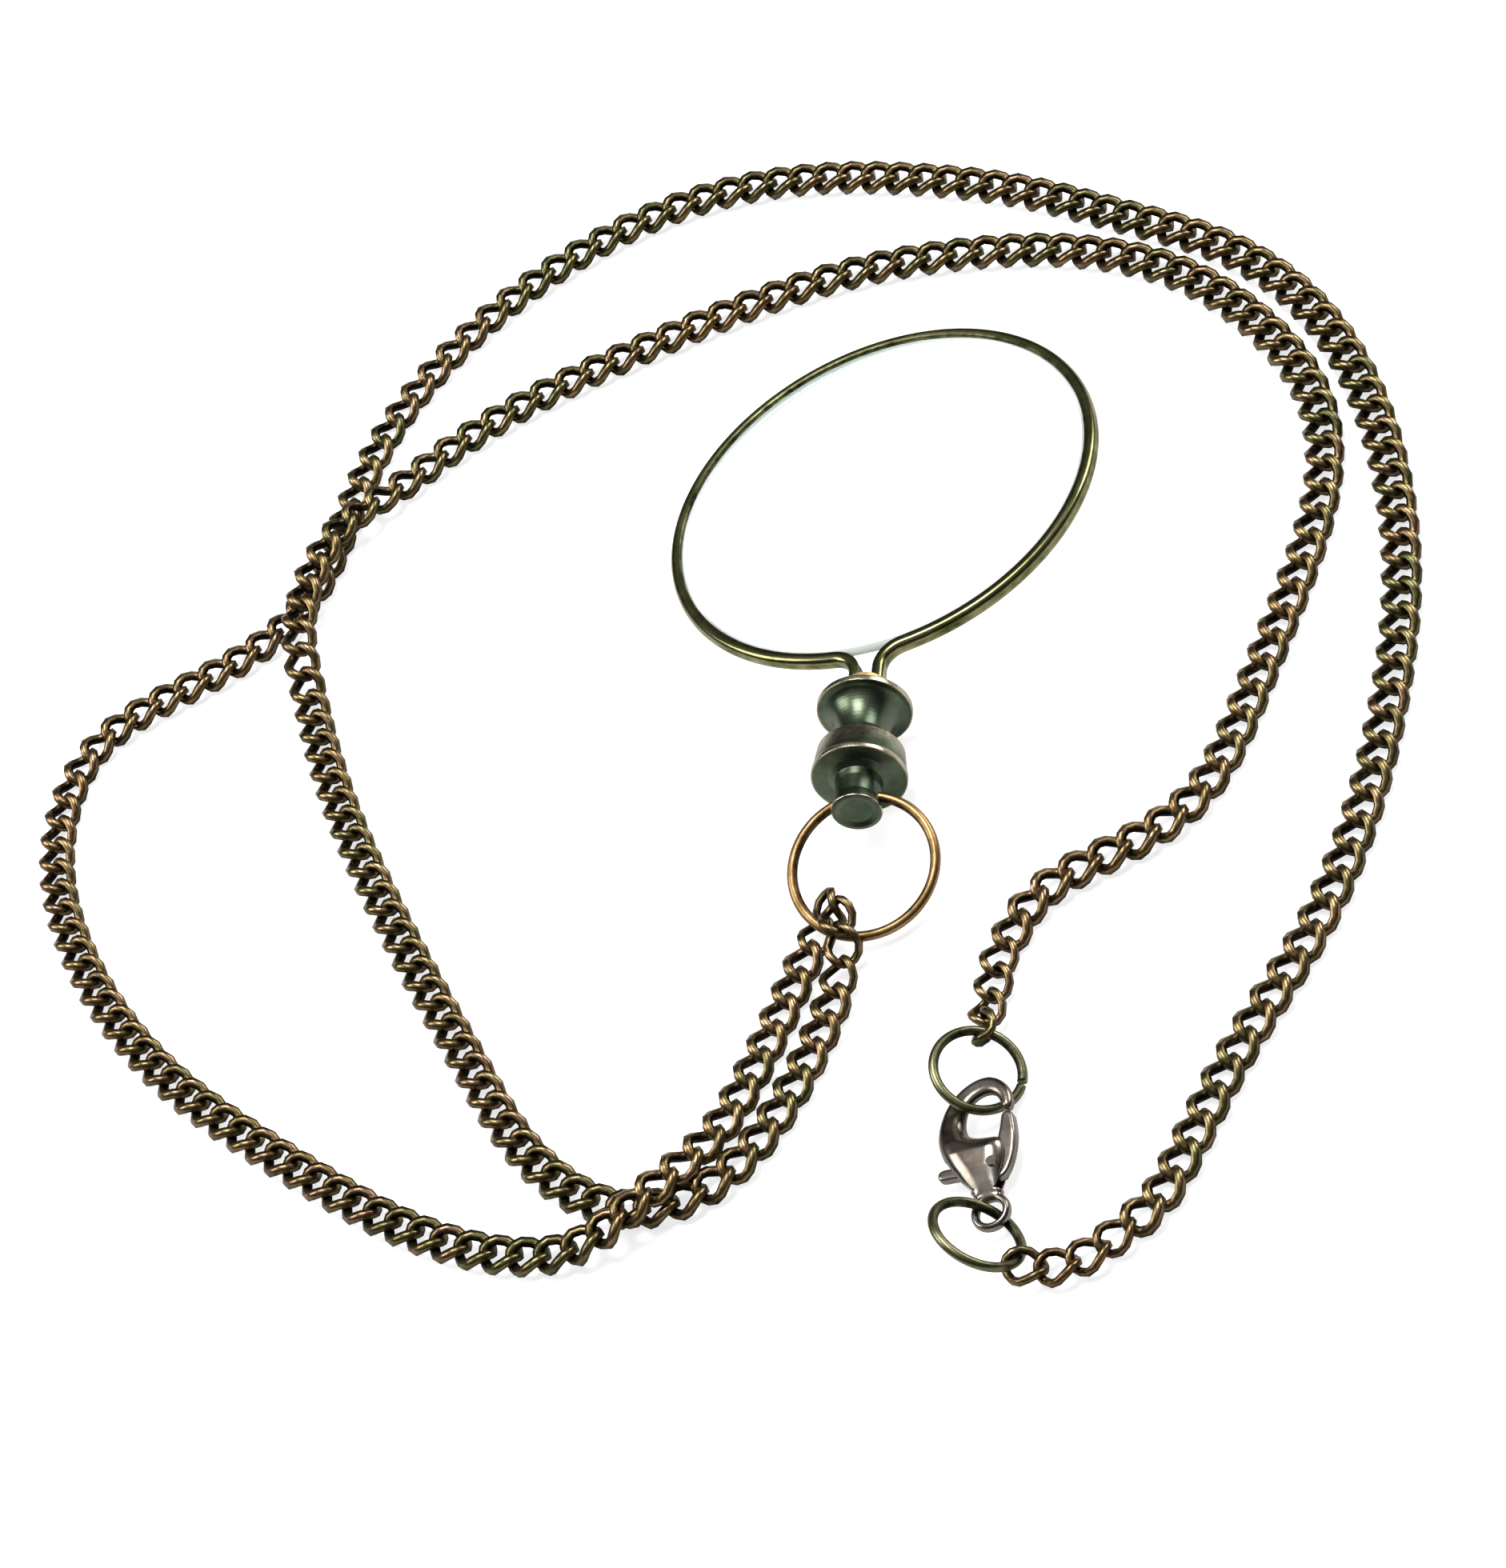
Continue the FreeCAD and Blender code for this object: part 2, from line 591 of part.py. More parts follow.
# ---------------------------------------------------------------- assembly
monocle_part("eyewire", eyewire())
monocle_part("lens", lens())
monocle_part("stem_collar", stem_collar())
monocle_part("upper_spool", upper_spool())
monocle_part("lower_spool", lower_spool())

ring = ring_path(BAIL_AT, BAIL_OUT, BAIL_SIDE, BAIL_OUT.cross(BAIL_SIDE), BAIL_RADIUS, pieces=24)
parts["bail_ring"] = [wire_solid(ring, BAIL_AT, BAIL_WIRE, RING_SIDES)]

c, e1, e2, n = ring_frame(LOWER_RING_AT, LOWER_RING_AXIS)
parts["lower_ring"] = [wire_solid(ring_path(c, e1, e2, n, LOWER_RING_RADIUS), c,
                                  SMALL_RING_WIRE, RING_SIDES)]
c, e1, e2, n = ring_frame(UPPER_RING_AT, UPPER_RING_AXIS)
parts["upper_ring"] = [wire_solid(
    ring_path(c, e1, e2, n, UPPER_RING_RADIUS, RING_SPLIT, RING_SPLIT_AT, RING_SPLIT_STEP),
    c, SMALL_RING_WIRE, RING_SIDES, closed=False)]

clasp_part("clasp_body", clasp_body())
clasp_part("clasp_lever", clasp_lever())
clasp_part("clasp_pin", clasp_pin())
clasp_part("clasp_spring", clasp_spring())

HITCH = bail_point(BAIL_HITCH)
parts["hitch_links"] = hung(HITCH, HITCH_LINKS)
outer = strand([offset(HITCH, OUTER_START)] + OUTER_ROUTE + [offset(LOWER_RING_LINK_AT, OUTER_END)],
               CROSSING, 0.0)
inner = strand([offset(HITCH, INNER_START)] + INNER_ROUTE + [offset(UPPER_RING_LINK_AT, INNER_END)],
               RIDING, RIDING_FLAT)
for name, links in (("chain_outer", outer), ("chain_inner", inner)):
    stretches = math.ceil(len(links) / LINKS_PER_STRETCH)
    for k in range(stretches):
        a, b = len(links) * k // stretches, len(links) * (k + 1) // stretches
        parts["%s_%02d" % (name, k + 1)] = links[a:b]
parts["end_links_outer"] = hung(LOWER_RING_LINK_AT, LOWER_RING_LINKS)
parts["end_links_inner"] = hung(UPPER_RING_LINK_AT, UPPER_RING_LINKS)

box = Part.makeCompound([s for group in parts.values() for s in group]).BoundBox
SHIFT = V(-(box.XMin + box.XMax) / 2, -(box.YMin + box.YMax) / 2, -box.ZMin)

os.makedirs("parts", exist_ok=True)
for name, group in parts.items():
    placed = []
    for s in group:
        s = s.copy()
        s.Placement = FreeCAD.Placement(SHIFT, FreeCAD.Rotation()).multiply(s.Placement)
        placed.append(s)
    shape = placed[0] if len(placed) == 1 else Part.makeCompound(placed)
    shape.exportStep("parts/%s.step" % name)

print("links", len(outer), "+", len(inner), "+ hitch", len(HITCH_LINKS), "+ ends",
      len(LOWER_RING_LINKS) + len(UPPER_RING_LINKS))
print("pitch %.3f rest %.3f tilt %.2f" % (PITCH, REST, math.degrees(TILT)))
print("shift %.3f %.3f %.3f" % (SHIFT.x, SHIFT.y, SHIFT.z))
print("box %.2f %.2f %.2f" % (box.XLength, box.YLength, box.ZLength))
print("hole %.3f %.3f %.3f" % (HOLE.x, HOLE.y, HOLE.z))
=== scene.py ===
"""A monocle on its neck chain, lying on a white table under soft studio light.

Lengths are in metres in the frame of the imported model; MM turns the sizes,
which are written in millimetres, into metres.
"""
import json
import math

import bpy
import numpy as np
from mathutils import Matrix


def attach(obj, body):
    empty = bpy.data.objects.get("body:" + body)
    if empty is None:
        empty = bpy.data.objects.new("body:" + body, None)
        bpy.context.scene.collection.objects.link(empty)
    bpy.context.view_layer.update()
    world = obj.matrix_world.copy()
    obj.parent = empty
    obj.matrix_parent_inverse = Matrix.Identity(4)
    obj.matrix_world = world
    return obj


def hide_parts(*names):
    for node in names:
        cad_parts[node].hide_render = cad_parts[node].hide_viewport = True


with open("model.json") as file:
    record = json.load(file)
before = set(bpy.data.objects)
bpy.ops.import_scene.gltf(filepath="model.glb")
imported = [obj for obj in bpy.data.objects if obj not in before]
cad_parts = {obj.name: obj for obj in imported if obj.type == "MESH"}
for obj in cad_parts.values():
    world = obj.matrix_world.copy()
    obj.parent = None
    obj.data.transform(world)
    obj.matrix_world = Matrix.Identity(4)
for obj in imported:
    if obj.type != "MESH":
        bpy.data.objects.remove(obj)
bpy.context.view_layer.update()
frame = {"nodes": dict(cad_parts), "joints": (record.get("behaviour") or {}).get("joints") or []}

MM = 0.001
TAU = 2 * math.pi

# ------------------------------------------------------------------ sizes (mm)
WIRE_RADIUS = 17.95        # centre of the eyewire's section from the lens centre
WIRE_DEEP = 1.00           # its section, radially
WIRE_THICK = 1.30          # and along the lens axis
WIRE_ROUND = 0.442         # how far its crown falls back towards the edges
WIRE_BEVEL = 0.12          # of its inner edges
GROOVE_WIDE = 0.70
GROOVE_DEEP = 0.33
BEND_RADIUS = 2.20         # the two ends turn out on this radius
END_APART = 2.10           # between the two straight ends
END_SOCKET = 1.50
LENS_THICK = 0.95
LENS_PLAY = 0.06
LENS_EASE = 0.12           # a narrow ring of faces this wide keeps the face's shading flat

COLLAR_TOP = 21.35         # along the stem, from the lens centre
COLLAR_RADIUS = 1.80
COLLAR_HIGH = 2.20
COLLAR_BEVEL = 0.18
FLANGE_RADIUS = 3.72
FLANGE_THICK = 0.62
FLANGE_BEVEL = 0.14
COVE_LIP = 0.25            # flat left between the flange's rim and the hollow below it
NECK_RADIUS = 2.00
NECK_AT = 2.85
BAND_AT = 4.46
BAND_HIGH = 2.54
BAND_TOP_RADIUS = 3.41
STUB_RADIUS = 1.75
STUB_LONG = 3.09
STUB_END_RADIUS = 1.98
ROOT_RADIUS = 2.25
ROOT_HIGH = 0.35
TURNED_ROUND = 0.05        # rounding of the turned pieces' corners
HOLE_RADIUS = 0.78
HOLE_FROM_BAND = 1.93
STEM_TILT = 4.12           # degrees, stem end raised

BAIL_RADIUS = 5.62
BAIL_WIRE = 0.81
LOWER_RING_RADIUS = 3.35
UPPER_RING_RADIUS = 3.30
SMALL_RING_WIRE = 0.74
RING_SPLIT = 9.0           # degrees
RING_SPLIT_AT = 86.0
RING_SPLIT_STEP = 0.24     # the two ends lie this far past each other
RING_STEP_SHARE = 0.45     # share of each half over which its end moves aside

LINK_LONG = 3.78
LINK_WIDE = 3.34
LINK_WIRE = 0.84           # fuller than the solids' wire, as the chain looks
HUNG_LINK_WIRE = 0.66      # links on a ring, with room to let it turn
LINK_TWIST = -90.0         # degrees over the link's length
LINK_FACETS = 36           # triangles of the solid that marks a link's place
LINK_STEPS = 16            # points along a link's wire
LINK_SIDES = 5             # and round it
LINK_GATHER = 0.08         # how far its steps draw together at the link's two ends
LINK_SWELL = 1.03          # makes up for the flats of a section with few sides

FLANGE_TOP = COLLAR_TOP + COLLAR_HIGH
FLANGE_UNDER = FLANGE_TOP + FLANGE_THICK
BAND_TOP = FLANGE_UNDER + BAND_AT
BAND_END = BAND_TOP + BAND_HIGH
HOLE_AT = BAND_END + HOLE_FROM_BAND
STEM_END = BAND_END + ROOT_HIGH + STUB_LONG

# ------------------------------------------------------------------ the view
AIM = np.array([5.33, -8.04, 0.08]) * MM     # point on the table in the picture's middle
CAMERA_AZIMUTH = -61.8     # degrees from +X towards +Y
CAMERA_ELEVATION = 44.68
CAMERA_ROLL = -33.97
CAMERA_DISTANCE = 373.8 * MM
FOCAL_PIXELS = 5981.0      # for a picture 1960 pixels high
PICTURE_HIGH = 1960.0
SENSOR = 36.0

TABLE_HALF = 3.0           # metres
TABLE_CARD = 0.55          # share of the lamps' light that the table gives back
TABLE_GLOW = 0.76          # its own white in the camera's view, near the object
TABLE_IN_METAL = 0.12      # and in what metal mirrors of it
GLOW_FROM, GLOW_TO = 0.12, 0.40     # metres from the middle where the glow rises to 1
ROOM = [                   # (height, white): from 0 straight below to 1 straight above
    (0.0, 0.006), (0.35, 0.015), (0.62, 0.11), (0.80, 0.24), (1.0, 0.36)]


# ------------------------------------------------------------------ geometry
def unit(v):
    """Vectors divided by their length, along the last axis."""
    v = np.asarray(v, float)
    return v / np.linalg.norm(v, axis=-1, keepdims=True)


def placed(points, origin, axes):
    """Local points in mm carried into the frame: origin + x*X + y*Y + z*Z."""
    return origin + (np.asarray(points, float) @ np.asarray(axes, float)) * MM


def in_scene(name, data):
    """Object for a mesh, lamp or camera, linked into the scene."""
    thing = bpy.data.objects.new(name, data)
    bpy.context.scene.collection.objects.link(thing)
    return thing


def new_piece(name, points, faces, smooth=True):
    """Mesh object at the origin from points and faces that all have as many corners."""
    mesh = bpy.data.meshes.new(name)
    faces = np.asarray(faces, np.int32)
    mesh.vertices.add(len(points))
    mesh.vertices.foreach_set("co", np.asarray(points, np.float32).ravel())
    mesh.loops.add(faces.size)
    mesh.loops.foreach_set("vertex_index", faces.ravel())
    mesh.polygons.add(len(faces))
    mesh.polygons.foreach_set("loop_start", np.arange(0, faces.size, faces.shape[1], dtype=np.int32))
    mesh.update(calc_edges=True)
    mesh.validate()
    mesh.polygons.foreach_set("use_smooth", np.full(len(mesh.polygons), smooth))
    return in_scene(name, mesh)


def grid_faces(rows, columns, close_rows, close_columns, first=0):
    """Quads of a rows x columns grid of points, joined round where it is closed."""
    r = np.arange(rows if close_rows else rows - 1)
    c = np.arange(columns if close_columns else columns - 1)
    r, c = np.meshgrid(r, c, indexing="ij")
    nr, nc = (r + 1) % rows, (c + 1) % columns
    quads = np.stack([r * columns + c, nr * columns + c, nr * columns + nc, r * columns + nc], -1)
    return quads.reshape(-1, 4) + first


def volume_sign(points, triangles):
    """Six times the volume that closed triangles hold, below zero where they face inwards."""
    a, b, c = (points[triangles[:, k]] for k in range(3))
    return np.einsum("ij,ij->i", a, np.cross(b, c)).sum()


def halves(quads):
    """Each quad as two triangles."""
    return np.vstack([quads[:, :3], quads[:, [0, 2, 3]]])


def faces_outward(points, quads):
    """A closed surface's quads, turned round where they face inwards."""
    return quads if volume_sign(points, halves(quads)) > 0 else quads[:, ::-1]


def set_attribute(piece, name, values):
    """One number per point of a piece, for its material."""
    layer = piece.data.attributes.new(name, "FLOAT", "POINT")
    layer.data.foreach_set("value", np.asarray(values, np.float32).ravel())


def lathe(profile, turns=96):
    """Points and quads of a turned shape about the stem, from (radius, along) pairs.

    A point is (r cos a, -s, r sin a), with the first and last radius at or near zero.
    """
    profile = np.asarray(profile, float)
    a = np.arange(turns) * TAU / turns
    r, s = profile[:, :1], profile[:, 1:]
    points = np.stack([r * np.cos(a), -s + 0 * a, r * np.sin(a)], -1).reshape(-1, 3)
    return points, grid_faces(len(profile), turns, False, True)


def swept(path, out, section, closed):
    """Section (outward, sideways) carried along a path.

    A point is path + u*out + v*side, where side = tangent x out.
    """
    path = np.asarray(path, float)
    if closed:
        tangent = unit(np.roll(path, -1, 0) - np.roll(path, 1, 0))
    else:
        tangent = unit(np.gradient(path, axis=0))
    out = unit(out - tangent * np.sum(out * tangent, -1, keepdims=True))
    side = np.cross(tangent, out)
    u, v = section[:, 0], section[:, 1]
    points = path[:, None] + out[:, None] * u[None, :, None] + side[:, None] * v[None, :, None]
    return points.reshape(-1, 3), grid_faces(len(path), len(section), closed, True)


def circle_section(radius, corners):
    """Corners of a round section, (radius cos a, radius sin a)."""
    a = (np.arange(corners) + 0.5) * TAU / corners
    return np.stack([np.cos(a), np.sin(a)], -1) * radius


def capped(points, quads, rows, columns):
    """An open tube with a fan of triangles round the middle of each end, all facing outwards."""
    points = np.vstack([points, points[:columns].mean(0), points[-columns:].mean(0)])
    k = np.arange(columns)
    n = (k + 1) % columns
    far = (rows - 1) * columns
    start = np.stack([np.full(columns, len(points) - 2), k, n], -1)
    end = np.stack([np.full(columns, len(points) - 1), n + far, k + far], -1)
    ends = np.vstack([start, end])
    if volume_sign(points, np.vstack([halves(quads), ends])) < 0:
        quads, ends = quads[:, ::-1], ends[:, ::-1]
    return points, quads, ends


def mixed_piece(name, points, quads, triangles):
    """Mesh object from quads and triangles together."""
    mesh = bpy.data.meshes.new(name)
    mesh.from_pydata(points.tolist(), [], quads.tolist() + triangles.tolist())
    mesh.update()
    mesh.polygons.foreach_set("use_smooth", np.full(len(mesh.polygons), True))
    return in_scene(name, mesh)


def rounded_profile(corners, radius, steps=4):
    """Profile whose inner corners are replaced by short arcs.

    Each corner p becomes the points a (1-t)^2 + 2 p t (1-t) + b t^2, where a and b
    lie on its two sides, a radius away, or less where a side is short.
    """
    corners = np.asarray(corners, float)
    out = [corners[0]]
    t = np.linspace(0, 1, steps)[:, None]
    for before, p, after in zip(corners, corners[1:], corners[2:]):
        reach = min(radius, 0.45 * np.linalg.norm(before - p), 0.45 * np.linalg.norm(after - p))
        a = p + unit(before - p) * reach
        b = p + unit(after - p) * reach
        out.extend(a * (1 - t) ** 2 + p * 2 * t * (1 - t) + b * t ** 2)
    out.append(corners[-1])
    return np.array(out)


# ------------------------------------------------------------------ places
JOINTS = {joint["name"]: joint for joint in frame["joints"]}


def joint_place(name):
    """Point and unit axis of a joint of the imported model."""
    joint = JOINTS[name]
    return np.array(joint["pos_m"], float), unit(joint["axis"])


def node_corners(node):
    """Corner points of a node's triangles, as an array of triangles x 3 x 3."""
    mesh = frame["nodes"][node].data
    points = np.empty(len(mesh.vertices) * 3)
    mesh.vertices.foreach_get("co", points)
    mesh.calc_loop_triangles()
    index = np.empty(len(mesh.loop_triangles) * 3, np.int32)
    mesh.loop_triangles.foreach_get("vertices", index)
    return points.reshape(-1, 3)[index].reshape(-1, 3, 3)


def principal_place(points):
    """Middle and right-handed axes of a point cloud, longest spread first."""
    points = np.unique(np.round(points.reshape(-1, 3), 7), axis=0)
    middle = points.mean(0)
    _, axes = np.linalg.eigh(np.cov((points - middle).T))
    axes = axes[:, ::-1].T
    if np.linalg.det(axes) < 0:
        axes[2] = -axes[2]
    return middle, axes


# ------------------------------------------------------------------ shader maths
def colour4(red, green, blue):
    """Opaque colour."""
    return (red, green, blue, 1.0)


class Socket:
    """A shader output that takes + - * with other outputs and plain numbers."""

    def __init__(self, finish, socket):
        self.finish, self.socket = finish, socket

    def maths(self, operation, a, b):
        """The output of an operation on two values."""
        return self.finish.node("ShaderNodeMath", {"operation": operation}, {0: a, 1: b})

    def __add__(self, other): return self.maths("ADD", self, other)
    def __radd__(self, other): return self.maths("ADD", other, self)
    def __sub__(self, other): return self.maths("SUBTRACT", self, other)
    def __rsub__(self, other): return self.maths("SUBTRACT", other, self)
    def __mul__(self, other): return self.maths("MULTIPLY", self, other)
    def __rmul__(self, other): return self.maths("MULTIPLY", other, self)


class Finish:
    """One material and its nodes; its methods give shader outputs to build on."""

    def __init__(self, name):
        self.material = bpy.data.materials.new(name)
        self.material.use_nodes = True
        self.tree = self.material.node_tree
        self.tree.nodes.clear()

    def node(self, kind, settings=None, inputs=None, output=0):
        """A node with its settings set first, then the values or links of its sockets."""
        node = self.tree.nodes.new(kind)
        for key, value in (settings or {}).items():
            setattr(node, key, value)
        for key, value in (inputs or {}).items():
            if isinstance(value, Socket):
                self.tree.links.new(value.socket, node.inputs[key])
            else:
                node.inputs[key].default_value = value
        return Socket(self, node.outputs[output]) if len(node.outputs) else None

    def coordinates(self):
        """The place on the object, in metres."""
        return self.node("ShaderNodeTexCoord", output="Object")

    def attribute(self, name):
        """A number stored at the piece's points."""
        return self.node("ShaderNodeAttribute", {"attribute_name": name}, output="Fac")

    def noise(self, size_mm, detail=2.0, roughness=0.5, where=None):
        """Noise whose blots are about size_mm across."""
        return self.node("ShaderNodeTexNoise", inputs={
            "Vector": where or self.coordinates(), "Scale": 1.0 / (size_mm * MM),
            "Detail": detail, "Roughness": roughness}, output="Fac")

    def grey(self, value, low, high):
        """0 below low, 1 above high, straight between."""
        return self.node("ShaderNodeMapRange", {"clamp": True},
                         {"Value": value, "From Min": low, "From Max": high}, output="Result")

    def mix(self, factor, a, b):
        """Colour a where the factor is 0, b where it is 1."""
        a, b = (end if isinstance(end, Socket) else colour4(*end) for end in (a, b))
        return self.node("ShaderNodeMix", {"data_type": "RGBA"}, {0: factor, 6: a, 7: b}, output=2)

    def bump(self, height, strength, depth_mm):
        """Surface direction of fine relief."""
        return self.node("ShaderNodeBump", inputs={
            "Strength": strength, "Distance": depth_mm * MM, "Height": height}, output="Normal")

    def surface(self, **sockets):
        """The principled shader with its sockets given by name, as the material's surface."""
        names = {name.replace("_", " "): value for name, value in sockets.items()}
        self.show(self.node("ShaderNodeBsdfPrincipled", inputs=names, output="BSDF"))

    def show(self, shader):
        """Makes a shader the material's surface."""
        self.node("ShaderNodeOutputMaterial", inputs={"Surface": shader})


# ------------------------------------------------------------------ finishes
def aged_metal(name, dark, middle, bright, blot_mm, polish, dark_rough=0.5, bright_rough=0.26):
    """Metal with a dark patina in its hollows and bare, polished high places.

    The attribute "worn" is 1 on the places that rub and 0 in the hollows; noise
    breaks its edge, and polish says how much of the metal is bare.
    """
    f = Finish(name)
    place = f.coordinates()
    blots = f.noise(blot_mm, 3.0, 0.6, place)
    fine = f.noise(blot_mm * 0.18, 2.0, 0.6, place)
    height = f.attribute("wear_and_painted_shade") + (blots - 0.5) * 0.9 + (fine - 0.5) * 0.35
    bare = f.grey(height, 0.62 - polish, 1.12 - polish)
    tone = f.mix(f.grey(blots, 0.35, 0.68), middle, bright)
    colour = f.mix(bare, dark, tone)
    rough = dark_rough + (bright_rough - dark_rough) * bare + (fine - 0.5) * 0.12
    normal = f.bump(fine + blots * 0.6, 0.25, 0.02)
    f.surface(Base_Color=colour, Metallic=1.0, Roughness=rough, Normal=normal)
    return f.material


def chain_brass():
    """Antique brass: near black below and in the gaps, olive, tan or plum where links rub.

    The near black is patina in the hollows and painted shade on the undersides and inner sides.
    The attribute "tone" is one random number per link, which shifts its colour.
    """
    f = Finish("chain_brass")
    place = f.coordinates()
    blots = f.noise(1.6, 3.0, 0.6, place)
    fine = f.noise(0.30, 2.0, 0.6, place)
    drift = f.noise(26.0, 1.0, 0.5, place)
    tone = f.attribute("tone")
    height = f.attribute("wear_and_painted_shade") + (blots - 0.5) * 0.8 + (fine - 0.5) * 0.3
    bare = f.grey(height, 0.30, 0.98)
    olive = f.mix(f.grey(drift, 0.40, 0.60), (0.225, 0.21, 0.088), (0.34, 0.215, 0.10))
    warm = f.mix(f.grey(blots, 0.40, 0.62), (0.38, 0.28, 0.105), (0.40, 0.26, 0.14))
    colour = f.mix(f.grey(tone + (blots - 0.5) * 1.2, 0.1, 0.9), olive, warm)
    plum = f.mix(f.grey(tone, 0.75, 1.3), colour, (0.25, 0.145, 0.11))
    # near black where bare is low: patina in the hollows, painted shade on undersides and inner sides
    colour = f.mix(bare, (0.010, 0.007, 0.004), plum)
    f.surface(Base_Color=colour, Metallic=1.0,
              Roughness=0.50 - 0.26 * bare + (fine - 0.5) * 0.15,
              Normal=f.bump(fine + blots * 0.5, 0.30, 0.02))
    return f.material


def spool_metal():
    """Blackened turned metal with bright rims and fine marks of the lathe."""
    f = Finish("spool_metal")
    place = f.coordinates()
    blots = f.noise(2.2, 3.0, 0.6, place)
    fine = f.noise(0.25, 3.0, 0.6, place)
    turning = f.noise(0.10, 1.0, 0.5, f.node(
        "ShaderNodeMapping", inputs={"Vector": place, "Scale": (0.03, 1.0, 0.03)}, output="Vector"))
    rim = f.grey(f.attribute("wear_and_painted_shade") + (blots - 0.5) * 0.5, 0.55, 0.95)
    ground = f.mix(f.grey(blots, 0.3, 0.7), (0.078, 0.11, 0.07), (0.165, 0.20, 0.135))
    colour = f.mix(rim, ground, (0.66, 0.57, 0.41))
    f.surface(Base_Color=colour, Metallic=1.0,
              Roughness=0.32 - 0.06 * rim + (fine - 0.5) * 0.16 + (turning - 0.5) * 0.10,
              Normal=f.bump(turning * 0.7 + fine * 0.4, 0.22, 0.015))
    return f.material


def clasp_steel():
    """Plated steel gone slightly mauve, with fine rubbing marks."""
    f = Finish("clasp_steel")
    place = f.coordinates()
    blots = f.noise(2.6, 3.0, 0.55, place)
    fine = f.noise(0.22, 3.0, 0.6, place)
    tint = f.mix(f.grey(blots, 0.36, 0.66), (0.33, 0.31, 0.27), (0.265, 0.21, 0.17))
    dull = f.grey(f.noise(1.8, 2.0, 0.5, place), 0.45, 0.75)
    colour = f.mix(dull * 0.5, tint, (0.13, 0.108, 0.083))
    f.surface(Base_Color=colour, Metallic=1.0, Roughness=0.22 + 0.14 * dull + (fine - 0.5) * 0.04,
              Normal=f.bump(fine, 0.015, 0.01))
    return f.material


def lens_glass():
    """Clear glass with a finely ground edge, where the attribute "ground" is 1.

    Its shadow is nearly clear, so that the lamps light the table below it.
    """
    f = Finish("lens_glass")
    smear = f.noise(6.0, 3.0, 0.6)
    glass = f.node("ShaderNodeBsdfPrincipled", inputs={
        "Base Color": colour4(0.975, 1.0, 0.985), "Transmission Weight": 1.0, "IOR": 1.45,
        "Roughness": f.grey(smear, 0.55, 1.0) * 0.03}, output="BSDF")
    clear = f.node("ShaderNodeBsdfTransparent", inputs={"Color": colour4(0.96, 0.985, 0.97)},
                   output="BSDF")
    frost = f.node("ShaderNodeBsdfDiffuse", inputs={"Color": colour4(0.93, 1.0, 0.97)}, output="BSDF")

    def blend(share, first, second):
        return f.node("ShaderNodeMixShader", inputs={0: share, 1: first, 2: second}, output="Shader")

    body = blend(f.attribute("ground"), glass, blend(0.80, clear, frost))
    f.show(blend(f.node("ShaderNodeLightPath", output="Is Shadow Ray"), body, clear))
    return f.material


def white_table():
    """White card, and a glow that the camera, metal and glass see of it.

    The glow rises to full white away from the object; near it, the lamps' light
    makes up the rest, so that the object's shadows show.
    """
    f = Finish("white_table")
    card = f.node("ShaderNodeBsdfDiffuse", inputs={"Color": colour4(*[TABLE_CARD] * 3)}, output="BSDF")
    seen = f.node("ShaderNodeLightPath", output="Is Camera Ray")
    glossy = f.node("ShaderNodeLightPath", output="Is Glossy Ray")
    through = f.node("ShaderNodeLightPath", output="Is Transmission Ray")
    away = f.node("ShaderNodeVectorMath", {"operation": "LENGTH"}, {0: f.coordinates()}, output="Value")
    white = TABLE_GLOW + (1 - TABLE_GLOW) * f.grey(away, GLOW_FROM, GLOW_TO)
    strength = seen.maths("MAXIMUM", seen, through) * white + glossy * TABLE_IN_METAL
    glow = f.node("ShaderNodeEmission", inputs={"Color": colour4(1, 1, 1), "Strength": strength},
                  output="Emission")
    f.show(f.node("ShaderNodeAddShader", inputs={0: card, 1: glow}, output="Shader"))
    return f.material


FINISHES = {
    "chain_brass": chain_brass(),
    "eyewire_brass": aged_metal("eyewire_brass", (0.018, 0.018, 0.008), (0.19, 0.21, 0.075),
                                (0.40, 0.37, 0.19), 3.0, 0.45, 0.44, 0.22),
    "collar_brass": aged_metal("collar_brass", (0.45, 0.27, 0.06), (0.88, 0.62, 0.20),
                               (0.98, 0.78, 0.34), 1.0, 0.80, 0.55, 0.45),
    "bail_brass": aged_metal("bail_brass", (0.035, 0.018, 0.007), (0.31, 0.185, 0.07),
                             (0.42, 0.265, 0.125), 2.4, 0.46, 0.48, 0.33),
    "ring_brass": aged_metal("ring_brass", (0.012, 0.011, 0.006), (0.14, 0.143, 0.07),
                             (0.24, 0.228, 0.13), 2.0, 0.45, 0.48, 0.32),
    "spool_metal": spool_metal(),
    "clasp_steel": clasp_steel(),
    "spring_steel": aged_metal("spring_steel", (0.20, 0.20, 0.20), (0.42, 0.42, 0.42),
                               (0.55, 0.55, 0.55), 1.5, 0.6),
    "lens_glass": lens_glass(),
}


def finish_piece(piece, slot, body, *nodes):
    """Gives a piece its material, its body and the nodes it stands for."""
    piece.data.materials.clear()
    piece.data.materials.append(FINISHES[slot])
    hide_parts(*nodes)
    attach(piece, body)


# ------------------------------------------------------------------ chain
def link_surface(wire):
    """Points and quads of one curb link, and which way each point faces from its wire.

    The wire's middle is (x, w cos turn, w sin turn) with x = (length/2) cos t,
    w = (width/2) sin t and turn = twist x/length; t = u - g sin 2u puts its steps
    a little closer together at the link's two ends.
    """
    length, width = LINK_LONG - LINK_WIRE, LINK_WIDE - LINK_WIRE
    u = np.arange(LINK_STEPS) * TAU / LINK_STEPS
    t = u - LINK_GATHER * np.sin(2 * u)
    x, w = length / 2 * np.cos(t), width / 2 * np.sin(t)
    turn = np.radians(LINK_TWIST) * x / length
    path = np.stack([x, w * np.cos(turn), w * np.sin(turn)], -1)
    points, quads = swept(path, path, circle_section(wire / 2 * LINK_SWELL, LINK_SIDES), True)
    facing = unit(points - np.repeat(path, LINK_SIDES, 0))
    return points, faces_outward(points, quads), facing


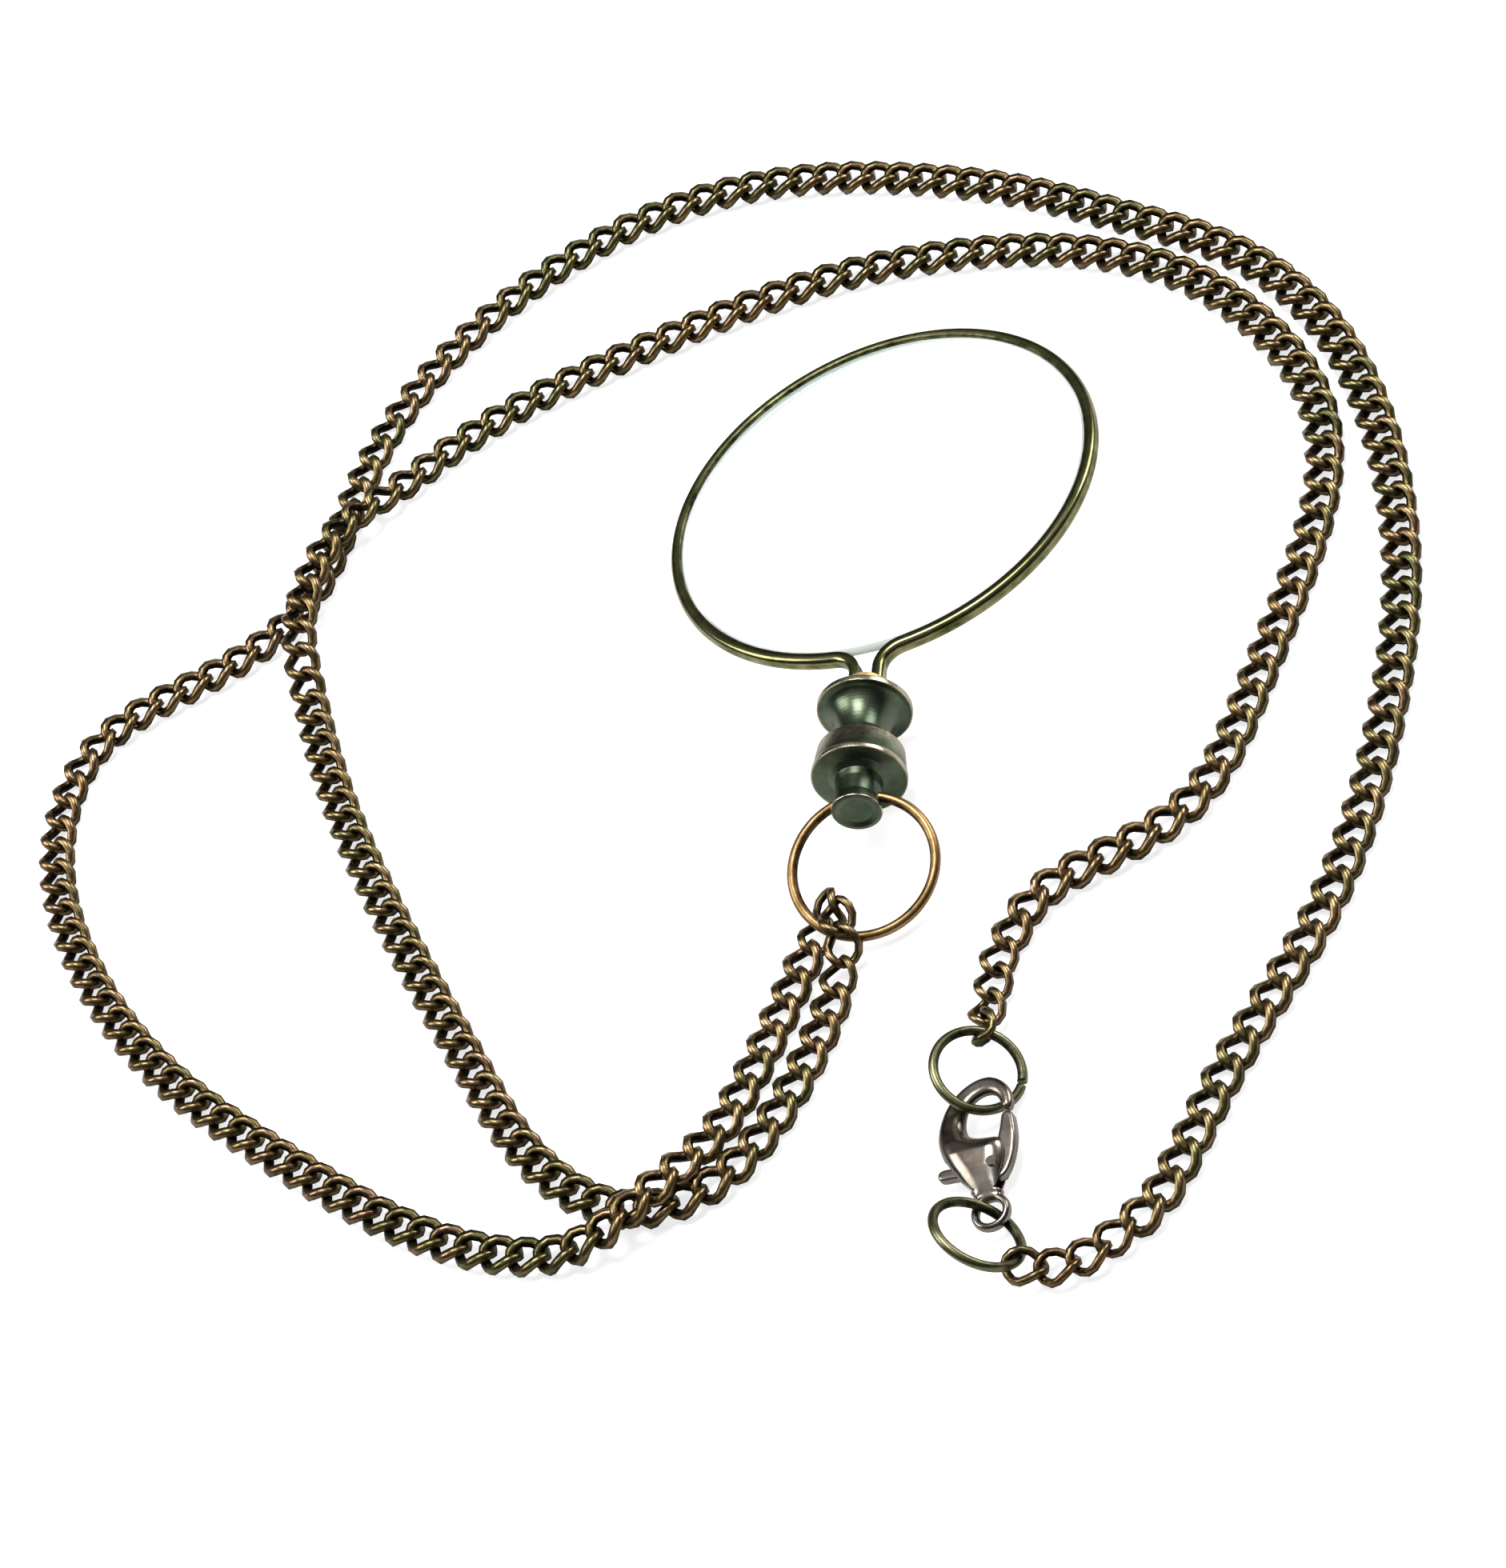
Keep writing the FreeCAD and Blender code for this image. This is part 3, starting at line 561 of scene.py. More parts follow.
def chain_piece(node, body, random):
    """All links of a node, each at the place of the node's own link solid.

    The attribute is highest on what faces up and away from the link's middle.
    Facing away is wear where the chain is touched, with patina and painted shade on
    the inner sides; facing up is painted shade, lighter tops and dark undersides.
    """
    points, quads, facing = link_surface(LINK_WIRE if node.startswith("chain_") else HUNG_LINK_WIRE)
    outward = np.sum(unit(points) * facing, -1)
    solids = node_corners(node).reshape(-1, LINK_FACETS * 3, 3)
    places = [principal_place(solid) for solid in solids]
    all_points = np.concatenate([placed(points, middle, axes) for middle, axes in places])
    all_quads = np.concatenate([quads + k * len(points) for k in range(len(places))])
    piece = new_piece(node + "_wire", all_points, all_quads)
    # painted shade: upward makes tops lighter and undersides dark; outward is wear, with patina and
    # painted shade inside
    upward = np.concatenate([(facing @ axes)[:, 2] for _, axes in places])
    set_attribute(piece, "wear_and_painted_shade", 0.38 + 0.22 * np.tile(outward, len(places)) + 0.40 * upward)
    set_attribute(piece, "tone", np.repeat(random.random(len(places)), len(points)))
    finish_piece(piece, "chain_brass", body, node)


# ------------------------------------------------------------------ eyewire, lens, stem
def monocle_axes():
    """Lens centre and the monocle's own axes: +Y from stem to lens, Z through the lens."""
    hole, _ = joint_place("monocle_swing")
    tilt = math.radians(STEM_TILT)
    along = np.array([0, math.cos(tilt), -math.sin(tilt)])
    up = np.array([0, math.sin(tilt), math.cos(tilt)])
    return hole + along * HOLE_AT * MM, np.stack([[1.0, 0, 0], along, up])


def eyewire_path():
    """The wire's middle: a run out of the collar, a bend, most of a circle, a bend, a run."""
    ring_steps, bend_steps, run_steps = 132, 12, 6
    reach = WIRE_RADIUS + BEND_RADIUS
    side = END_APART / 2 + BEND_RADIUS
    turn = math.asin(side / reach)
    drop = reach * math.cos(turn)
    a = np.linspace(-math.pi / 2 + turn, 1.5 * math.pi - turn, ring_steps)
    ring = np.stack([np.cos(a), np.sin(a)], -1) * WIRE_RADIUS
    ring_out = np.stack([np.cos(a), np.sin(a)], -1)
    b = np.linspace(math.pi, math.pi / 2 + turn, bend_steps)[:-1]
    right = np.stack([side + BEND_RADIUS * np.cos(b), -drop + BEND_RADIUS * np.sin(b)], -1)
    right_out = -np.stack([np.cos(b), np.sin(b)], -1)
    end = -(COLLAR_TOP + END_SOCKET)
    along = np.linspace(end, -drop, run_steps + 1)[:-1]
    run = np.stack([np.full(run_steps, END_APART / 2), along], -1)
    run_out = np.tile([1.0, 0.0], (run_steps, 1))
    first = np.vstack([run, right])
    first_out = np.vstack([run_out, right_out])
    mirror = np.array([-1.0, 1.0])
    path = np.vstack([first, ring, first[::-1] * mirror])
    out = np.vstack([first_out, ring_out, first_out[::-1] * mirror])
    flat = np.zeros((len(path), 1))
    return np.hstack([path, flat]), np.hstack([out, flat])


def eyewire_section():
    """Rounded outside, flatter inside with a V groove for the lens's edge."""
    deep, thick = WIRE_DEEP / 2, WIRE_THICK / 2
    a = np.linspace(-math.pi / 2, math.pi / 2, 13)
    crown = np.stack([deep - WIRE_ROUND * (1 - np.cos(a)), thick * np.sin(a)], -1)
    inner = np.array([[-deep + WIRE_BEVEL, thick], [-deep, thick - WIRE_BEVEL],
                      [-deep, GROOVE_WIDE / 2], [-deep + GROOVE_DEEP, 0], [-deep, -GROOVE_WIDE / 2],
                      [-deep, -thick + WIRE_BEVEL], [-deep + WIRE_BEVEL, -thick]])
    return np.vstack([crown, inner])


def make_eyewire(origin, axes):
    """The wire of the rim, rubbed bright along its outer edges."""
    path, out = eyewire_path()
    section = eyewire_section()
    points, quads = swept(path, out, section, False)
    points, quads, ends = capped(points, quads, len(path), len(section))
    piece = mixed_piece("eyewire_rim", placed(points, origin, axes), quads, ends)
    edge = np.abs(section[:, 1]) / (WIRE_THICK / 2)
    inside = section[:, 0] < -0.3
    wear = np.where(inside, 0.35, 0.45 + 0.55 * edge)
    set_attribute(piece, "wear_and_painted_shade", np.append(np.tile(wear, len(path)), [0.2, 0.2]))
    finish_piece(piece, "eyewire_brass", "monocle", "eyewire")


def make_lens(origin, axes):
    """Disc with flat polished faces and a bevelled edge in the groove.

    A point is (r cos a, r sin a, z) for each (r, z) of the profile.
    """
    turns = 128
    inner = WIRE_RADIUS - WIRE_DEEP / 2
    edge = inner + GROOVE_DEEP - LENS_PLAY
    half = LENS_THICK / 2
    flat = edge - half
    face = [(0.001, half), (flat * 0.5, half), (flat - LENS_EASE, half),
            (flat - 0.05, half), (flat, half - 0.01)]
    under = [(r, -z) for r, z in face]
    profile = np.array(under + [(edge - 0.02, -0.02), (edge - 0.02, 0.02)] + face[::-1])
    a = np.arange(turns) * TAU / turns
    r, z = profile[:, :1], profile[:, 1:]
    points = np.stack([r * np.cos(a), r * np.sin(a), z + 0 * a], -1).reshape(-1, 3)
    quads = faces_outward(points, grid_faces(len(profile), turns, False, True))
    piece = new_piece("lens_disc", placed(points, origin, axes), quads)
    set_attribute(piece, "ground", np.repeat(profile[:, 0] > flat - 0.01, turns))
    finish_piece(piece, "lens_glass", "monocle", "lens")


def make_turned(name, profile, wear, slot, node, origin, axes, cut=None):
    """Turned piece from its outline; wear(radius, along) gives its rubbed places."""
    points, quads = lathe(rounded_profile(profile, TURNED_ROUND))
    quads = faces_outward(points, quads)
    piece = new_piece(name, placed(points, origin, axes), quads)
    if cut is not None:
        drill(piece, *cut)
    mesh = piece.data
    place = np.empty(len(mesh.vertices) * 3)
    mesh.vertices.foreach_get("co", place)
    local = (place.reshape(-1, 3) - origin) @ np.linalg.inv(axes) / MM
    set_attribute(piece, "wear_and_painted_shade", wear(np.hypot(local[:, 0], local[:, 2]), -local[:, 1]))
    finish_piece(piece, slot, "monocle", node)


def drill(piece, radius, start, end):
    """Cuts a round hole between two points through a piece."""
    axis = unit(end - start)
    one = unit(np.cross(axis, [0.0, 0.0, 1.0]))
    two = np.cross(axis, one)
    count = 40
    a = np.arange(count) * TAU / count
    rim = (np.cos(a)[:, None] * one + np.sin(a)[:, None] * two) * radius
    points = np.vstack([start + rim, end + rim, [start], [end]])
    k = np.arange(count)
    n = (k + 1) % count
    quads = np.stack([k, n, n + count, k + count], -1)
    fans = np.vstack([np.stack([n, k, np.full(count, 2 * count)], -1),
                      np.stack([k + count, n + count, np.full(count, 2 * count + 1)], -1)])
    cutter = mixed_piece("drill", points, quads, fans)
    modifier = piece.modifiers.new("hole", "BOOLEAN")
    modifier.object = cutter
    modifier.operation = "DIFFERENCE"
    modifier.solver = "EXACT"
    graph = bpy.context.evaluated_depsgraph_get()
    mesh = bpy.data.meshes.new_from_object(piece.evaluated_get(graph))
    piece.modifiers.clear()
    piece.data = mesh
    bpy.data.objects.remove(cutter)


def make_stem(origin, axes):
    """Collar and the two halves of the spool, the lower one with its cross hole."""
    def collar_wear(radius, along):
        """1 all over but for the end round the wires."""
        return np.where(along < COLLAR_TOP + 0.1, 0.7, 1.0)

    def rim_wear(radius, along):
        """1 on the outermost edges of the two rims, the band and the stub's end."""
        edges = [(FLANGE_RADIUS, FLANGE_TOP + FLANGE_BEVEL), (FLANGE_RADIUS, FLANGE_UNDER),
                 (BAND_TOP_RADIUS, BAND_TOP), (FLANGE_RADIUS, BAND_END - 0.4),
                 (FLANGE_RADIUS, BAND_END), (STUB_END_RADIUS, STEM_END - 0.1)]
        apart = np.min([np.hypot(radius - r, along - s) for r, s in edges], axis=0)
        return 1.05 - apart / 0.30

    make_turned("collar", [(0.01, COLLAR_TOP), (COLLAR_RADIUS - COLLAR_BEVEL, COLLAR_TOP),
                           (COLLAR_RADIUS, COLLAR_TOP + COLLAR_BEVEL), (COLLAR_RADIUS, FLANGE_TOP - 0.3),
                           (COLLAR_RADIUS + 0.12, FLANGE_TOP), (0.01, FLANGE_TOP)],
                collar_wear, "collar_brass", "stem_collar", origin, axes)
    a = np.radians(np.linspace(0, 90, 13))
    depth = FLANGE_RADIUS - COVE_LIP - NECK_RADIUS
    cove = np.stack([NECK_RADIUS + depth * (1 - np.sin(a)),
                     FLANGE_UNDER + NECK_AT * (1 - np.cos(a))], -1).tolist()
    swell = NECK_RADIUS + 0.55 * (BAND_TOP_RADIUS - NECK_RADIUS)
    make_turned("spool_upper", [(0.01, FLANGE_TOP), (FLANGE_RADIUS - FLANGE_BEVEL, FLANGE_TOP),
                                (FLANGE_RADIUS, FLANGE_TOP + FLANGE_BEVEL),
                                (FLANGE_RADIUS, FLANGE_UNDER)]
                + cove + [(NECK_RADIUS + 0.15, BAND_TOP - 0.95), (swell, BAND_TOP - 0.38),
                          (swell + 0.3, BAND_TOP - 0.03), (0.01, BAND_TOP - 0.03)],
                rim_wear, "spool_metal", "upper_spool", origin, axes)
    side = np.array([1.0, 0, 0]) * (ROOT_RADIUS + 1) * MM
    hole, _ = joint_place("monocle_swing")
    make_turned("spool_lower", [(0.01, BAND_TOP), (BAND_TOP_RADIUS, BAND_TOP),
                                (FLANGE_RADIUS - 0.07, BAND_END - 0.5),
                                (FLANGE_RADIUS, BAND_END - 0.4), (FLANGE_RADIUS, BAND_END),
                                (ROOT_RADIUS + 0.15, BAND_END), (STUB_RADIUS + 0.1, BAND_END + ROOT_HIGH),
                                (STUB_RADIUS, BAND_END + ROOT_HIGH + 0.6), (STUB_RADIUS, STEM_END - 1.1),
                                (STUB_END_RADIUS, STEM_END - 0.1), (STUB_END_RADIUS - 0.1, STEM_END),
                                (STUB_END_RADIUS - 0.35, STEM_END),
                                (STUB_END_RADIUS - 0.75, STEM_END - 0.15), (0.01, STEM_END - 0.15)],
                rim_wear, "spool_metal", "lower_spool", origin, axes,
                cut=(HOLE_RADIUS * MM, hole - side, hole + side))


# ------------------------------------------------------------------ rings
def ring_axes(normal):
    """Two directions of a ring's plane, the first level, and its normal."""
    level = unit(np.cross(normal, [0.0, 0.0, 1.0]))
    return np.stack([level, np.cross(normal, level), normal])


def make_ring(name, radius, wire, slot, body, node, origin, axes, split=False):
    """Round wire bent to a ring; a split ring's ends lie past each other by a step.

    A point of its middle is (R cos a, R sin a, step), where the step grows with
    the square of the way along the last share of each half.
    """
    section = circle_section(wire / 2, 16)
    if split:
        share = np.linspace(0, 1, 97)
        a = np.radians(RING_SPLIT_AT + RING_SPLIT / 2 + (360 - RING_SPLIT) * share)
        near = np.clip(np.abs(share - 0.5) * 2 - (1 - RING_STEP_SHARE), 0, None) / RING_STEP_SHARE
        step = RING_SPLIT_STEP / 2 * near ** 2 * np.where(share > 0.5, 1, -1)
    else:
        a = np.arange(96) * TAU / 96
        step = 0 * a
    path = np.stack([radius * np.cos(a), radius * np.sin(a), step], -1)
    out = np.stack([np.cos(a), np.sin(a), 0 * a], -1)
    points, quads = swept(path, out, section, not split)
    wear = np.tile(0.55 + 0.35 * section[:, 0] / (wire / 2), len(path))
    if split:
        points, quads, ends = capped(points, quads, len(path), len(section))
        piece = mixed_piece(name, placed(points, origin, axes), quads, ends)
        wear = np.append(wear, [0.9, 0.9])
    else:
        piece = new_piece(name, placed(points, origin, axes), faces_outward(points, quads))
    set_attribute(piece, "wear_and_painted_shade", wear)
    finish_piece(piece, slot, body, node)


# ------------------------------------------------------------------ clasp
CLASP_OUTLINE = [          # round the outside, from the right of the eye, hook along +Y
    (0.95, 1.00), (0.92, 2.1), (1.22, 3.3), (1.42, 4.4), (1.36, 5.3), (1.10, 5.75), (0.70, 5.98),
    (0.05, 6.05), (-0.90, 6.18), (-1.72, 6.62), (-2.02, 7.6), (-1.85, 8.7), (-1.35, 9.50),
    (-0.45, 9.92), (0.30, 9.80), (0.78, 9.2), (0.92, 8.35), (1.35, 8.10), (1.84, 8.35), (1.80, 9.4),
    (1.35, 10.35), (0.55, 11.10), (-0.40, 11.38), (-1.55, 11.10), (-2.65, 10.35), (-3.45, 9.3),
    (-3.92, 8.0), (-4.02, 6.6), (-3.72, 5.3), (-3.05, 3.9), (-2.20, 2.65), (-1.45, 1.75), (-1.05, 0.95)]
EYE_RADIUS = 1.52
EYE_HOLE = 0.92
EYE_HALF = 0.42            # half the eye's thickness
BELLY_HALF = 1.30          # half the thickness at the belly
HOOK_HALF = 0.43           # and at the hook
PILLOW_POWER = 2.2         # 2 would be an ellipse across the body's edge; more is fuller
LEVER_OUTLINE = [          # gate to the top right, thumb tab to the left
    (0.98, 7.95), (1.80, 7.95), (2.02, 6.9), (2.10, 5.8), (1.98, 4.6), (1.72, 3.6), (1.32, 2.75),
    (0.60, 2.40), (-0.60, 2.80), (-2.60, 3.30), (-3.75, 3.28), (-4.05, 3.62), (-4.00, 4.05),
    (-3.62, 4.28), (-2.60, 4.15), (-0.45, 4.40), (0.25, 4.80), (0.60, 5.6), (0.88, 6.8)]
LEVER_WAY = [              # the slot that it moves in
    (-5.6, 0.2), (-3.2, 1.7), (-0.9, 1.95), (0.3, 1.7), (3.2, 1.5), (3.2, 8.15), (0.9, 8.15),
    (-0.85, 6.2), (-1.05, 5.0), (-3.0, 4.9), (-5.6, 4.9)]
LEVER_HALF = 0.46          # half the lever's thickness
LEVER_PLAY = 0.05          # between it and each side of the slot
LEVER_ROUND = 0.30         # rounding of its edges
BODY_STEP = 0.075          # spacing of the grid that the body is worked out on
LEVER_STEP = 0.06          # and the lever
SMOOTHINGS = 6             # rounds of evening out a worked-out surface
SMOOTHING = 0.7            # share of the way to its neighbours that a point moves in each
PULLS = 3                  # moves back to the surface after each round
PULL_MOST = 0.4            # the longest, in steps of the grid
SLOPE_LEAST = 0.05         # least squared slope to divide by
RISE_LEAST = 1e-9          # stands for a level side's rise, which isn't divided by


def smooth_loop(corners, times):
    """Closed outline with each corner cut off at quarters, again and again."""
    loop = np.asarray(corners, float)
    for _ in range(times):
        ahead = np.roll(loop, -1, 0)
        loop = np.stack([0.75 * loop + 0.25 * ahead, 0.25 * loop + 0.75 * ahead], 1).reshape(-1, 2)
    return loop


def outline_distance(points, loop):
    """Distance of each point from the nearest side of the outline, less than zero outside.

    A point is inside where a line from it towards +X crosses an odd number of sides.
    """
    a, b = loop, np.roll(loop, -1, 0)
    side = b - a
    rel = points[:, None] - a[None]
    t = np.clip(np.sum(rel * side, -1) / np.sum(side * side, -1), 0, 1)
    apart = np.linalg.norm(rel - side * t[..., None], axis=-1).min(1)
    crosses = (a[None, :, 1] > points[:, 1, None]) != (b[None, :, 1] > points[:, 1, None])
    rise = np.where(side[:, 1] == 0, RISE_LEAST, side[:, 1])
    at = a[:, 0] + (points[:, 1, None] - a[None, :, 1]) / rise * side[:, 0]
    inside = (crosses & (points[:, 0, None] < at)).sum(1) % 2 == 1
    return np.where(inside, apart, -apart)


def clasp_half_thickness(y):
    """Half the clasp's thickness along its length: thin eye, full belly, slim hook."""
    return np.interp(y, [-2.0, 1.2, 2.2, 3.4, 4.8, 5.8, 7.2, 8.6, 12.0],
                     [0.36, EYE_HALF, 0.78, 1.16, BELLY_HALF, 1.18, 0.80, 0.52, HOOK_HALF])


def block_of_cells(value, low, step):
    """Closed surface between cells where value is positive and the rest, on a regular grid.

    Every side between a full and an empty cell becomes a quad, wound outwards.
    A margin of one empty cell goes all round, so the corner numbered n along a
    side lies at low + (n - 1 - 1/2) step.
    """
    full = np.pad(value > 0, 1)
    square = ((0, 0), (1, 0), (1, 1), (0, 1))
    quads = []
    for axis in range(3):
        across = [(axis + 1) % 3, (axis + 2) % 3]
        here = np.moveaxis(full, axis, 0)
        for toward in (1, -1):
            bare = np.moveaxis(here & ~np.roll(here, -toward, 0), 0, axis)
            base = np.argwhere(bare)
            base[:, axis] += toward == 1
            corners = []
            for offset in square if toward == 1 else square[:1] + square[:0:-1]:
                corner = base.copy()
                corner[:, across] += offset
                corners.append(np.ravel_multi_index(corner.T, full.shape))
            quads.append(np.stack(corners, -1))
    used, faces = np.unique(np.concatenate(quads), return_inverse=True)
    cells = np.stack(np.unravel_index(used, full.shape), -1)
    return low + (cells - 1.5) * step, faces.reshape(-1, 4)


def sampled(points, field, low, step):
    """Value and slope of a gridded field at points, straight between its places."""
    place = (points - low) / step
    cell = np.clip(np.floor(place).astype(int), 0, np.array(field.shape) - 2)
    t = np.clip(place - cell, 0, 1)
    value, slope = np.zeros(len(points)), np.zeros_like(points)
    for corner in np.ndindex(2, 2, 2):
        at = field[tuple((cell + corner).T)]
        weight = np.where(corner, t, 1 - t)
        value += at * weight.prod(-1)
        for axis, bit in enumerate(corner):
            slope[:, axis] += at * (2 * bit - 1) * np.delete(weight, axis, 1).prod(-1) / step
    return value, slope


def drawn_to(points, field, low, step):
    """Moves points along a field's slope until they lie where it is zero.

    Each move is value * slope / slope^2, held to a part of the grid's step.
    """
    most = PULL_MOST * step
    for _ in range(PULLS):
        value, slope = sampled(points, field, low, step)
        size = np.maximum(np.sum(slope * slope, -1), SLOPE_LEAST)
        points = points - np.clip(value / size, -most, most)[:, None] * slope
    return points


def field_piece(name, field, low, step, origin, axes):
    """Smooth closed surface where a gridded field, in mm and positive inside, is zero.

    Each round moves a point most of the way to its neighbours' middle, then back
    to the surface.
    """
    points, faces = block_of_cells(field, low, step)
    edges = np.vstack([faces[:, [0, 1]], faces[:, [1, 2]], faces[:, [2, 3]], faces[:, [3, 0]]])
    for _ in range(SMOOTHINGS):
        total = np.zeros_like(points)
        count = np.zeros(len(points))
        np.add.at(total, edges[:, 0], points[edges[:, 1]])
        np.add.at(count, edges[:, 0], 1)
        points = (1 - SMOOTHING) * points + SMOOTHING * total / count[:, None]
        points = drawn_to(points, field, low, step)
    return new_piece(name, placed(points, origin, axes), faces)


def smaller(a, b, soft):
    """The smaller of two fields, with the seam between them rounded over a length.

    It is b (1-h) + a h - soft h (1-h), where h is 1/2 + (b-a) / 2 soft, from 0 to 1.
    """
    h = np.clip(0.5 + 0.5 * (b - a) / soft, 0, 1)
    return b * (1 - h) + a * h - soft * h * (1 - h)


def larger(a, b, soft):
    """The larger of two fields, with a rounded seam."""
    return -smaller(-a, -b, soft)


def clasp_grid(low, high, step):
    """The three coordinates of every place of a regular grid between two corners."""
    sides = [np.arange(a, b + step, step) for a, b in zip(low, high)]
    return np.meshgrid(*sides, indexing="ij")


def flat_field(x, y, loop):
    """The outline's distance over one layer of the grid, for every layer."""
    layer = np.stack([x[:, :, 0].ravel(), y[:, :, 0].ravel()], -1)
    parts = [outline_distance(chunk, loop) for chunk in np.array_split(layer, 40)]
    return np.concatenate(parts).reshape(x.shape[:2])[:, :, None] + 0 * x


def clasp_body_field(x, y, z):
    """Pillow over the outline, joined to the eye's ring, less the lever's slot.

    Inside the outline, at a distance d from it, the surface lies where
    (1 - d/R)^p + (|z|/h)^p = 1: the half thickness grows from nothing at the
    outline to h at a distance R.
    """
    d = flat_field(x, y, smooth_loop(CLASP_OUTLINE, 3))
    h = clasp_half_thickness(y)
    reach = np.clip(h * 1.15, 0.45, 1.5)
    u = 1 - np.minimum(d, reach) / reach
    bulge = np.sqrt(np.maximum(u, 0) ** PILLOW_POWER + (np.abs(z) / h) ** PILLOW_POWER)
    pillow = (1 - bulge) * np.minimum(h, reach)
    across = np.hypot(x, y) - (EYE_RADIUS + EYE_HOLE) / 2
    wire = (EYE_RADIUS - EYE_HOLE) / 2
    eye = 1 - np.sqrt((across / wire) ** 2 + (z / EYE_HALF) ** 2)
    body = larger(pillow, eye * wire, 0.18)
    body = smaller(body, np.hypot(x, y) - EYE_HOLE, 0.06)
    lever_way = flat_field(x, y, smooth_loop(LEVER_WAY, 2))
    slot = np.minimum(lever_way, LEVER_HALF + LEVER_PLAY - np.abs(z))
    return smaller(body, -slot, 0.05)


def clasp_lever_field(x, y, z):
    """Flat lever with rounded edges, a little thicker at the gate than at the tab."""
    d = flat_field(x, y, smooth_loop(LEVER_OUTLINE, 3))
    half = np.interp(y, [4.5, 6.2], [LEVER_HALF - 0.04, LEVER_HALF + 0.04])
    u = 1 - np.minimum(d, LEVER_ROUND) / LEVER_ROUND
    return (1 - np.sqrt(np.maximum(u, 0) ** 2.4 + (np.abs(z) / half) ** 4)) * LEVER_ROUND


def make_clasp():
    """Body and lever; the pin and the spring, mostly hidden, keep the solids' own shapes."""
    eye, along = joint_place("clasp_roll")
    _, up = joint_place("lever_open")
    axes = np.stack([np.cross(along, up), along, up])
    for name, node, body, field, low, high, step in (
            ("clasp_hook", "clasp_body", "clasp", clasp_body_field,
             (-4.4, -2.0, -1.6), (2.6, 11.8, 1.6), BODY_STEP),
            ("clasp_gate", "clasp_lever", "clasp_lever", clasp_lever_field,
             (-4.7, 2.2, -0.7), (2.5, 8.4, 0.7), LEVER_STEP)):
        grid = clasp_grid(low, high, step)
        piece = field_piece(name, field(*grid), np.array(low), step, eye, axes)
        finish_piece(piece, "clasp_steel", body, node)
    for node, slot in (("clasp_pin", "clasp_steel"), ("clasp_spring", "spring_steel")):
        materials = frame["nodes"][node].data.materials
        materials.clear()
        materials.append(FINISHES[slot])


# ------------------------------------------------------------------ the object
random = np.random.default_rng(7)
for node in sorted(frame["nodes"]):
    if node.startswith("chain_") or node.endswith("_links") or node.startswith("end_links"):
        chain_piece(node, "chain", random)

lens_centre, monocle = monocle_axes()
make_eyewire(lens_centre, monocle)
make_lens(lens_centre, monocle)
make_stem(lens_centre, monocle)

bail_middle, bail_axes = principal_place(node_corners("bail_ring"))
make_ring("bail_wire", BAIL_RADIUS, BAIL_WIRE, "bail_brass", "bail_ring", "bail_ring",
          bail_middle, bail_axes)
for node, radius, split in (("lower_ring", LOWER_RING_RADIUS, False),
                            ("upper_ring", UPPER_RING_RADIUS, True)):
    middle, normal = joint_place(node + "_turn")
    make_ring(node + "_wire", radius, SMALL_RING_WIRE, "ring_brass", node, node,
              middle, ring_axes(normal), split)
make_clasp()


# ------------------------------------------------------------------ table, lamps, camera
def lamp(name, place, size, watts):
    """White soft box at a place, facing the middle of the picture."""
    light = bpy.data.lights.new(name, "AREA")
    light.shape = "RECTANGLE"
    light.size, light.size_y = size
    light.energy = watts
    back = unit(np.array(place) - AIM)
    overhead = abs(back[2]) > 0.95
    side = unit(np.cross([0.0, 1.0, 0.0] if overhead else [0.0, 0.0, 1.0], back))
    turn_to(in_scene(name, light), place, side, np.cross(back, side), back)


def turn_to(thing, place, right, up, back):
    """Puts a lamp or camera at a place with its own axes along three directions."""
    rows = [[right[i], up[i], back[i], place[i]] for i in range(3)]
    thing.matrix_world = Matrix(rows + [[0, 0, 0, 1]])


